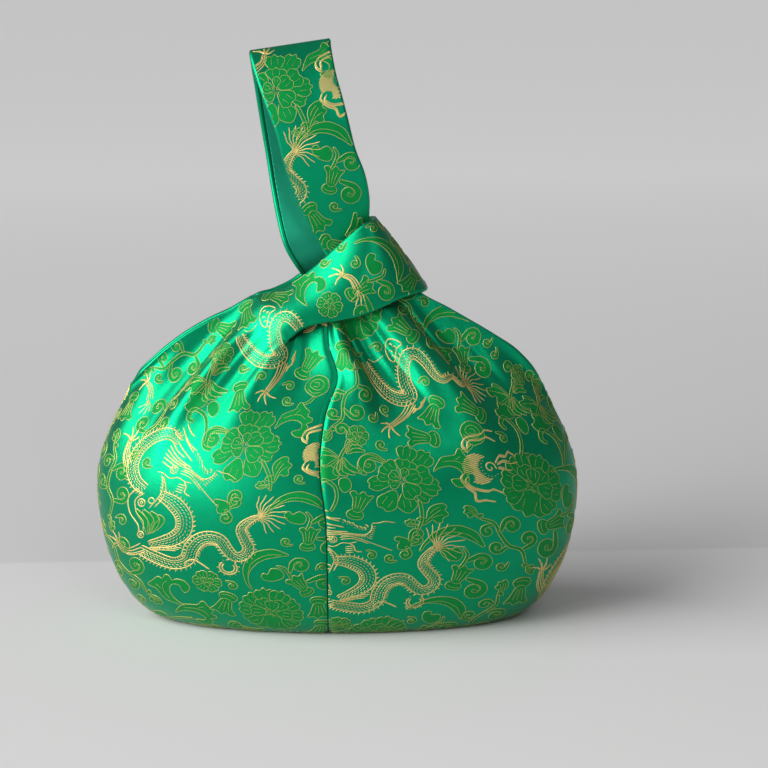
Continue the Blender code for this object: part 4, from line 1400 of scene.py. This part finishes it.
def round_peony():
    """A round flower whose lowest petal is a bowl."""
    petals = [(180, 2.0, 12.5, 15.0, 3)]
    petals += [(turn, 5.0, 12.8, 7.6, 2) for turn in (-128, -90, -52, 128, 90, 52)]
    petals += [(turn, 4.5, 13.4, 8.4, 3) for turn in (-17, 17)]
    petals += [(turn, 2.0, 8.6, 6.4, 2) for turn in (-95, 95, -35, 35)] + [(0, 0.8, 7.0, 5.4, 3)]
    return flower(petals, STAMENS)


MOTIFS = {
    "peony_spray": peony_spray(), "round_peony": round_peony(), "horned_dragon": horned_dragon(),
    "winding_dragon": winding_dragon(), "flaming_pearl": flaming_pearl(), "sprig": sprig(), "lily": lily(),
    "leaf_spray": leaf_spray(), "stem_spray": stem_spray(), "finger_leaf": finger_leaf(),
    "scroll_leaf": scroll_leaf(), "small_flower": small_flower(), "loose_claw": loose_claw(),
    "scroll_spray": scroll_spray(), "left_spray": scroll_spray(mirrored=True),
    "small_spray": scroll_spray(0.72), "small_left_spray": scroll_spray(0.72, mirrored=True),
    "smallest_spray": scroll_spray(0.5, mirrored=True), "small_curl": curl(1.1, 1.7, 1.2),
}


class Cover:
    """Which square millimetres of a half's flat cloth are taken by the pattern."""

    def __init__(self, cloth):
        places = cloth.places.reshape(-1, 2)
        self.low = np.floor(places.min(0))
        size = np.ceil(places.max(0) - self.low).astype(int) + 1
        self.spots = np.stack(np.meshgrid(*map(np.arange, size), indexing="ij"), axis=-1) + self.low
        self.on_cloth = cloth.on_bag(self.spots.reshape(-1, 2), 0.0)[1].reshape(size)
        self.taken = np.zeros(size, bool)

    def cells(self, points):
        cells = np.round(points - self.low).astype(int)
        return cells[((cells >= 0) & (cells < self.taken.shape)).all(1)].T

    def fits(self, points, most_overlap, least_share):
        x, y = self.cells(points)
        on_cloth = self.on_cloth[x, y]
        covered = (self.taken[x, y] & on_cloth).sum()
        least = max(1, least_share * len(points))
        return on_cloth.sum() >= least and covered <= most_overlap * on_cloth.sum()

    def take(self, points):
        """Takes the squares at the points and those round them."""
        for step in np.ndindex(3, 3):
            x, y = self.cells(points + step - 1)
            self.taken[x, y] = True


def sight_place(cloth, pixel):
    """The place on the flat cloth that the camera sees at a pixel of the photograph."""
    sine, cosine = math.sin(CAMERA_ELEVATION), math.cos(CAMERA_ELEVATION)
    back = Vector((0, -cosine, sine))
    across = (pixel[0] - PICTURE_SIZE / 2) / PICTURE_SIZE * SENSOR_WIDTH / CAMERA_LENS
    rise = (PICTURE_SIZE / 2 - pixel[1]) / PICTURE_SIZE * SENSOR_WIDTH / CAMERA_LENS
    way = Vector((across, 0, 0)) + Vector((0, sine, cosine)) * rise - back
    return cloth.seen_at(Vector(CAMERA_TARGET) + back * CAMERA_DISTANCE, way)


def seen_pose(cloth, pixel, turn):
    """Where a motif lies on the flat cloth, and how far it is turned there."""
    place = sight_place(cloth, pixel)
    step = SIGHT_STEP * np.array([math.sin(math.radians(turn)), -math.cos(math.radians(turn))])
    above, below = sight_place(cloth, pixel + step), sight_place(cloth, pixel - step)
    if place is None or (above is None and below is None):
        return None, 0.0
    way = above - place if above is not None else place - below
    return place, math.degrees(math.atan2(way[0], way[1]))


def put_on_cloth(name, place, degrees, anchor=(0, 0)):
    drawing = Drawing()
    drawing.put(MOTIFS[name], np.asarray(place) - rotated([anchor], degrees)[0], degrees)
    return drawing


def seen_drawings(cloth, cover):
    drawings = []
    for side, name, pixel, turn, anchor in SEEN_MOTIFS:
        if side != cloth.half.side:
            continue
        place, degrees = seen_pose(cloth, np.array(pixel), turn)
        if place is not None:
            drawings.append(put_on_cloth(name, place, degrees, anchor))
            cover.take(drawings[-1].spots())
    return drawings


def repeated_drawings(cloth, cover):
    peony = next(motif for motif in SEEN_MOTIFS if motif[0] == cloth.half.side)
    start = sight_place(cloth, peony[2])
    drawings = []
    steps = range(-REPEATS, REPEATS + 1)
    for name, place in REPEATED_MOTIFS:
        for i in steps:
            for j in steps:
                drawing = put_on_cloth(name, start + place + i * REPEAT_ACROSS + j * REPEAT_UP, 0.0)
                if cover.fits(drawing.spots(), REPEAT_OVERLAP, REPEAT_ON_CLOTH):
                    cover.take(drawing.spots())
                    drawings.append(drawing)
    return drawings


def small_drawings(cover):
    """Small motifs at all spots that are still free, each turned its own way."""
    drawings = []
    for names in SMALL_MOTIFS:
        spots = [MOTIFS[name].spots() for name in names]
        middles = [(points.min(0) + points.max(0)) / 2 for points in spots]
        for i, j in np.ndindex(*(size // SPOT_STEP for size in cover.taken.shape)):
            square = (i * SPOT_STEP, j * SPOT_STEP)
            if cover.taken[square] or not cover.on_cloth[square]:
                continue
            place = cover.spots[square]
            for trial in range(TURNS * len(names)):
                kind = (2 * i + 3 * j + trial) % len(names)
                degrees = 47 * i + 83 * j + 360 / TURNS * (trial // len(names))
                turned_spots = rotated(spots[kind] - middles[kind], degrees) + place
                if cover.fits(turned_spots, SMALL_OVERLAP, SMALL_ON_CLOTH):
                    drawing = put_on_cloth(names[kind], place, degrees, middles[kind])
                    cover.take(drawing.spots())
                    drawings.append(drawing)
                    break
    return drawings


def pattern_of(cloth):
    cover = Cover(cloth)
    return seen_drawings(cloth, cover) + repeated_drawings(cloth, cover) + small_drawings(cover)


def thread_mesh(name, cloth, strokes, material):
    """Threads as ribs that stand on the cloth."""
    left, middle, right, starts, runs = [], [], [], [], []
    count = 0
    for line, width in strokes:
        reach = across_line(line) * width / 2
        reach[[0, -1]] *= 0.4
        left.append(line + reach)
        middle.append(line)
        right.append(line - reach)
        starts.append(np.arange(count, count + len(line) - 1))
        runs.append(THREAD_STEP * np.arange(len(line)))
        count += len(line)
    places = np.concatenate(left + middle + right)
    lift = np.repeat([THREAD_SINK, THREAD_RISE, THREAD_SINK], count)
    points, found = cloth.on_bag(places, lift)
    first = np.concatenate(starts)
    whole = found.reshape(3, -1).all(0)
    middles = points[count:2 * count]
    short = np.linalg.norm(middles[first + 1] - middles[first], axis=1) < MOST_STEP / 1000
    first = first[whole[first] & whole[first + 1] & short]
    faces = [np.stack([first + low, first + high, first + high + 1, first + low + 1], axis=1)
             for low, high in ((0, count), (count, 2 * count))]
    run = np.tile(np.concatenate(runs), 3)
    weave = np.stack([run, np.zeros_like(run)], axis=-1)
    return trimmed_mesh(name, points, np.concatenate(faces), material, weave)


def trimmed_mesh(name, points, faces, material, places):
    """A mesh of only those points that its faces use."""
    used, numbers = np.unique(faces, return_inverse=True)
    return mesh_object(name, points[used], numbers.reshape(faces.shape), material, places[used], "POINT")


def fill_mesh(name, cloth, drawings, material):
    """The filled shapes of the pattern as smooth satin patches that lie on the cloth."""
    all_places, all_faces = [], []
    count = 0
    for drawing in drawings:
        if not drawing.fills:
            continue
        shapes = [shape[::2] for shape in drawing.fills]
        edge = np.concatenate(shapes)
        marks = np.cumsum([0] + [len(shape) for shape in shapes])
        rings = [list(range(start, end)) for start, end in zip(marks, marks[1:])]
        low, high = edge.min(0), edge.max(0)
        grid = np.stack(np.meshgrid(np.arange(low[0], high[0], FILL_SPACING),
                                    np.arange(low[1], high[1], FILL_SPACING)), axis=-1).reshape(-1, 2)
        within = np.zeros(len(grid), bool)
        for shape in shapes:
            within |= inside(grid, shape)
        verts = [Vector(place) for place in np.concatenate([edge, grid[within]])]
        flat, _, faces, _, _, _ = delaunay_2d_cdt(verts, [], rings, 1, 0.01)
        all_places.append(np.array([tuple(place) for place in flat]))
        all_faces.append(np.array(faces) + count)
        count += len(flat)
    places = np.concatenate(all_places)
    points, found = cloth.on_bag(places, FILL_RISE)
    faces = np.concatenate(all_faces)
    corners = points[faces]
    longest = np.linalg.norm(corners - np.roll(corners, 1, axis=1), axis=2).max(1)
    faces = faces[found[faces].all(1) & (longest < 2 * MOST_STEP / 1000)]
    return trimmed_mesh(name, points, faces, material, places)


# Layers of cloth

def rim_edges(quads):
    """The directed edges that only one quad has."""
    edges = np.concatenate([quads[:, [i, (i + 1) % 4]] for i in range(4)])
    size = quads.max() + 1
    keys = edges[:, 0] * size + edges[:, 1]
    backwards = edges[:, 1] * size + edges[:, 0]
    return edges[~np.isin(keys, backwards)]


def outward_at_rim(points, normals, edges):
    """At each point of the rim, the direction in the sheet that leaves it, and zero elsewhere."""
    outward = np.zeros_like(points)
    way = np.cross(unit(points[edges[:, 1]] - points[edges[:, 0]]), unit(normals[edges[:, 0]]))
    np.add.at(outward, edges[:, 0], way)
    np.add.at(outward, edges[:, 1], way)
    return unit(outward) * (np.linalg.norm(outward, axis=1, keepdims=True) > 0.1)


def add_object(name, data):
    obj = bpy.data.objects.new(name, data)
    bpy.context.scene.collection.objects.link(obj)
    return obj


def mesh_object(name, points, faces, material, places, domain):
    """A smooth mesh with its places on the flat cloth, at its points or its corners, for the weave."""
    mesh = bpy.data.meshes.new(name)
    mesh.from_pydata(np.asarray(points).tolist(), [], [list(face) for face in faces])
    mesh.shade_smooth()
    weave = mesh.attributes.new("cloth", "FLOAT_VECTOR", domain)
    flat = np.zeros((len(weave.data), 3))
    flat[:places.size // 2, :2] = places.reshape(-1, 2)
    weave.data.foreach_set("vector", flat.ravel())
    mesh.materials.append(material)
    return add_object(name, mesh)


def rolled_share(half):
    """At each point, how far the edge is rolled: not at all on the middle seam."""
    share = np.ones(len(half.points))
    for grid in half.body.values():
        share[grid[0]] = 0.0
        share[grid[1:6, -1]] = np.linspace(0.2, 1.0, 5)
    return share


def brocade_layer(name, half, quads, normals, places, material):
    """The outer cloth as a closed shell, with its free edges rolled over to the inside."""
    edges = rim_edges(quads)
    outward = outward_at_rim(half.points, normals, edges)
    rolled = rolled_share(half)
    rim = np.unique(edges)
    rows = [half.points, half.points - normals * OUTER_THICKNESS]
    faces = [quads, quads[:, ::-1] + len(half.points)]
    number = np.full(len(half.points), -1)
    number[rim] = np.arange(len(rim))
    last = edges
    start = 2 * len(half.points)
    for step, (out, down) in enumerate(EDGE_ROLL):
        plain = OUTER_THICKNESS * (step + 1) / (len(EDGE_ROLL) + 1)
        depth = (plain + (down - plain) * rolled[rim])[:, None]
        rows.append(half.points[rim] - normals[rim] * depth + outward[rim] * (out * rolled[rim])[:, None])
        now = number[edges] + start
        start += len(rim)
        faces.append(np.stack([last[:, 1], last[:, 0], now[:, 0], now[:, 1]], axis=1))
        last = now
    inner = edges + len(half.points)
    faces.append(np.stack([last[:, 1], last[:, 0], inner[:, 0], inner[:, 1]], axis=1))
    places = np.concatenate([places, places[:, ::-1]])
    return mesh_object(name, np.concatenate(rows), np.concatenate(faces), material, places, "CORNER")


def lining_layer(name, half, quads, normals, material):
    """The lining as a closed shell, with its free edges tucked under the brocade's roll."""
    edges = rim_edges(quads)
    outward = outward_at_rim(half.points, normals, edges) * rolled_share(half)[:, None]
    depth = OUTER_THICKNESS + LAYER_GAP
    points = half.points - outward * LINING_INSET
    both = np.concatenate([points - normals * depth, points - normals * (depth + LINING_THICKNESS)])
    count = len(points)
    joins = np.stack([edges[:, 1], edges[:, 0], edges[:, 0] + count, edges[:, 1] + count], axis=1)
    faces = np.concatenate([quads, quads[:, ::-1] + count, joins])
    return mesh_object(name, both, faces, material, 1000 * both[:, [0, 2]], "POINT")


# Materials

def feed(tree, node, inputs):
    """Gives each named input of a node its value, or the socket that it is joined to."""
    for name, source in inputs.items():
        if isinstance(source, bpy.types.NodeSocket):
            tree.links.new(source, node.inputs[name])
        else:
            node.inputs[name].default_value = source


def add_node(tree, kind, inputs, **settings):
    node = tree.nodes.new("ShaderNode" + kind)
    for name, setting in settings.items():
        setattr(node, name, setting)
    feed(tree, node, inputs)
    return node


def new_material(name):
    material = bpy.data.materials.new(name)
    material.use_nodes = True
    return material


def woven(name, colour, other_colour, metallic, roughness, line_width, line_turn, relief):
    """A glossy woven material: fine lines of thread in relief, with a slight play of colour and gloss."""
    material = new_material(name)
    tree = material.node_tree
    place = add_node(tree, "Attribute", {}, attribute_name="cloth").outputs["Vector"]
    turned_place = add_node(tree, "Mapping", {"Rotation": (0, 0, math.radians(line_turn)), "Vector": place})
    lines = add_node(tree, "TexWave", {
        "Scale": 2 * math.pi / (20 * line_width),
        "Distortion": LINE_DISTORTION,
        "Vector": turned_place.outputs["Vector"],
    }).outputs["Fac"]
    noise = add_node(tree, "TexNoise", {
        "Scale": COLOUR_PLAY_SCALE,
        "Detail": COLOUR_PLAY_DETAIL,
        "Vector": place,
    }).outputs["Fac"]
    share = add_node(tree, "Math", {0: noise, 1: lines}, operation="MULTIPLY").outputs["Value"]
    mix = add_node(tree, "Mix", {"A": colour, "B": other_colour, "Factor": share}, data_type="RGBA")
    relief_node = add_node(tree, "Bump", {"Strength": relief, "Distance": THREAD_RELIEF, "Height": lines})
    gloss = add_node(tree, "MapRange", {
        "To Min": roughness - GLOSS_PLAY,
        "To Max": roughness + GLOSS_PLAY,
        "Value": noise,
    })
    feed(tree, tree.nodes["Principled BSDF"], {
        "Metallic": metallic,
        "Sheen Weight": CLOTH_SHEEN,
        "Specular IOR Level": CLOTH_SPECULAR,
        "Base Color": mix.outputs["Result"],
        "Normal": relief_node.outputs["Normal"],
        "Roughness": gloss.outputs["Result"],
    })
    return material


# Studio

def blended(tree, depth, start, end, first, second):
    """A colour that goes from one to the other between two depths of the floor. A colour may be a socket."""
    share = add_node(tree, "MapRange", {"From Min": start, "From Max": end, "Value": depth})
    colours = {"Factor": share.outputs["Result"], "A": first, "B": second}
    return add_node(tree, "Mix", colours, data_type="RGBA").outputs["Result"]


def make_floor():
    """A pale floor that turns into a grey backdrop beyond a line behind the bag."""
    bpy.ops.mesh.primitive_plane_add(size=FLOOR_SIZE, location=(0, 0, 0))
    floor = bpy.context.object
    floor.name = "floor"
    material = new_material("floor")
    tree = material.node_tree
    position = add_node(tree, "NewGeometry", {}).outputs["Position"]
    backwards = {0: position, 1: (-BACKDROP_SLOPE, 1.0, 0.0)}
    depth = add_node(tree, "VectorMath", backwards, operation="DOT_PRODUCT").outputs["Value"]
    backdrop = blended(tree, depth, BACKDROP_START, FAR_BACKDROP, BACKDROP_COLOUR, FAR_BACKDROP_COLOUR)
    start, end = BACKDROP_START - BACKDROP_BLUR, BACKDROP_START + BACKDROP_BLUR
    colour = blended(tree, depth, start, end, FLOOR_COLOUR, backdrop)
    feed(tree, tree.nodes["Principled BSDF"], {"Roughness": FLOOR_ROUGHNESS, "Base Color": colour})
    floor.data.materials.append(material)


def make_world():
    world = bpy.data.worlds.new("studio")
    bpy.context.scene.world = world
    world.use_nodes = True
    world.node_tree.nodes["Background"].inputs["Color"].default_value = (*[SURROUND_LEVEL] * 3, 1)


def add_aimed(name, data, place, way):
    """A camera or lamp at a place that looks along a way."""
    obj = add_object(name, data)
    obj.location = place
    obj.rotation_mode = "QUATERNION"
    obj.rotation_quaternion = way.to_track_quat("-Z", "Y")
    return obj


def make_camera():
    data = bpy.data.cameras.new("camera")
    data.lens = CAMERA_LENS
    back = Vector((0, -math.cos(CAMERA_ELEVATION), math.sin(CAMERA_ELEVATION)))
    place = Vector(CAMERA_TARGET) + back * CAMERA_DISTANCE
    bpy.context.scene.camera = add_aimed("camera", data, place, -back)


def make_lights():
    for name, kind, place, strength, measure, width in LIGHTS:
        data = bpy.data.lights.new(name, kind)
        data.energy = strength
        setattr(data, measure, width)
        add_aimed(name, data, place, Vector(LIGHT_TARGET) - Vector(place))


# The bag

def add_piece(piece, node=None):
    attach(piece, "root")
    if node:
        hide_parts(node)
    return piece


def make_pattern(name, cloth, materials):
    """The woven pattern of one half: gold threads, outline threads and filled leaves and petals."""
    drawings = pattern_of(cloth)
    gold = [stroke for drawing in drawings for stroke in drawing.gold]
    line = [stroke for drawing in drawings for stroke in drawing.line]
    return [
        add_piece(thread_mesh("gold_threads_" + name, cloth, gold, materials["gold"])),
        add_piece(thread_mesh("outline_threads_" + name, cloth, line, materials["line"])),
        add_piece(fill_mesh("leaf_silk_" + name, cloth, drawings, materials["silk"])),
    ]


def make_half(side, name, materials):
    """One half's brocade with its pattern, and its lining."""
    half, quads, normals = finished_sheet(side)
    cloth = FlatCloth(half, normals)
    places = cloth.corner_places()
    outer = brocade_layer("brocade_" + name, half, quads, normals, places, materials["brocade"])
    add_piece(outer, "outer_" + name)
    pattern = make_pattern(name, cloth, materials)
    half, quads, normals = finished_sheet(side, 2)
    lining = lining_layer("inner_lining_" + name, half, quads, normals, materials["lining"])
    add_piece(lining, "lining_" + name)


def build():
    bpy.context.scene.view_settings.view_transform = "Standard"
    materials = {key: woven(*look) for key, look in CLOTH_LOOKS.items()}
    make_floor()
    make_half(-1, "short_side", materials)
    make_half(1, "long_side", materials)
    make_camera()
    make_world()
    make_lights()


build()
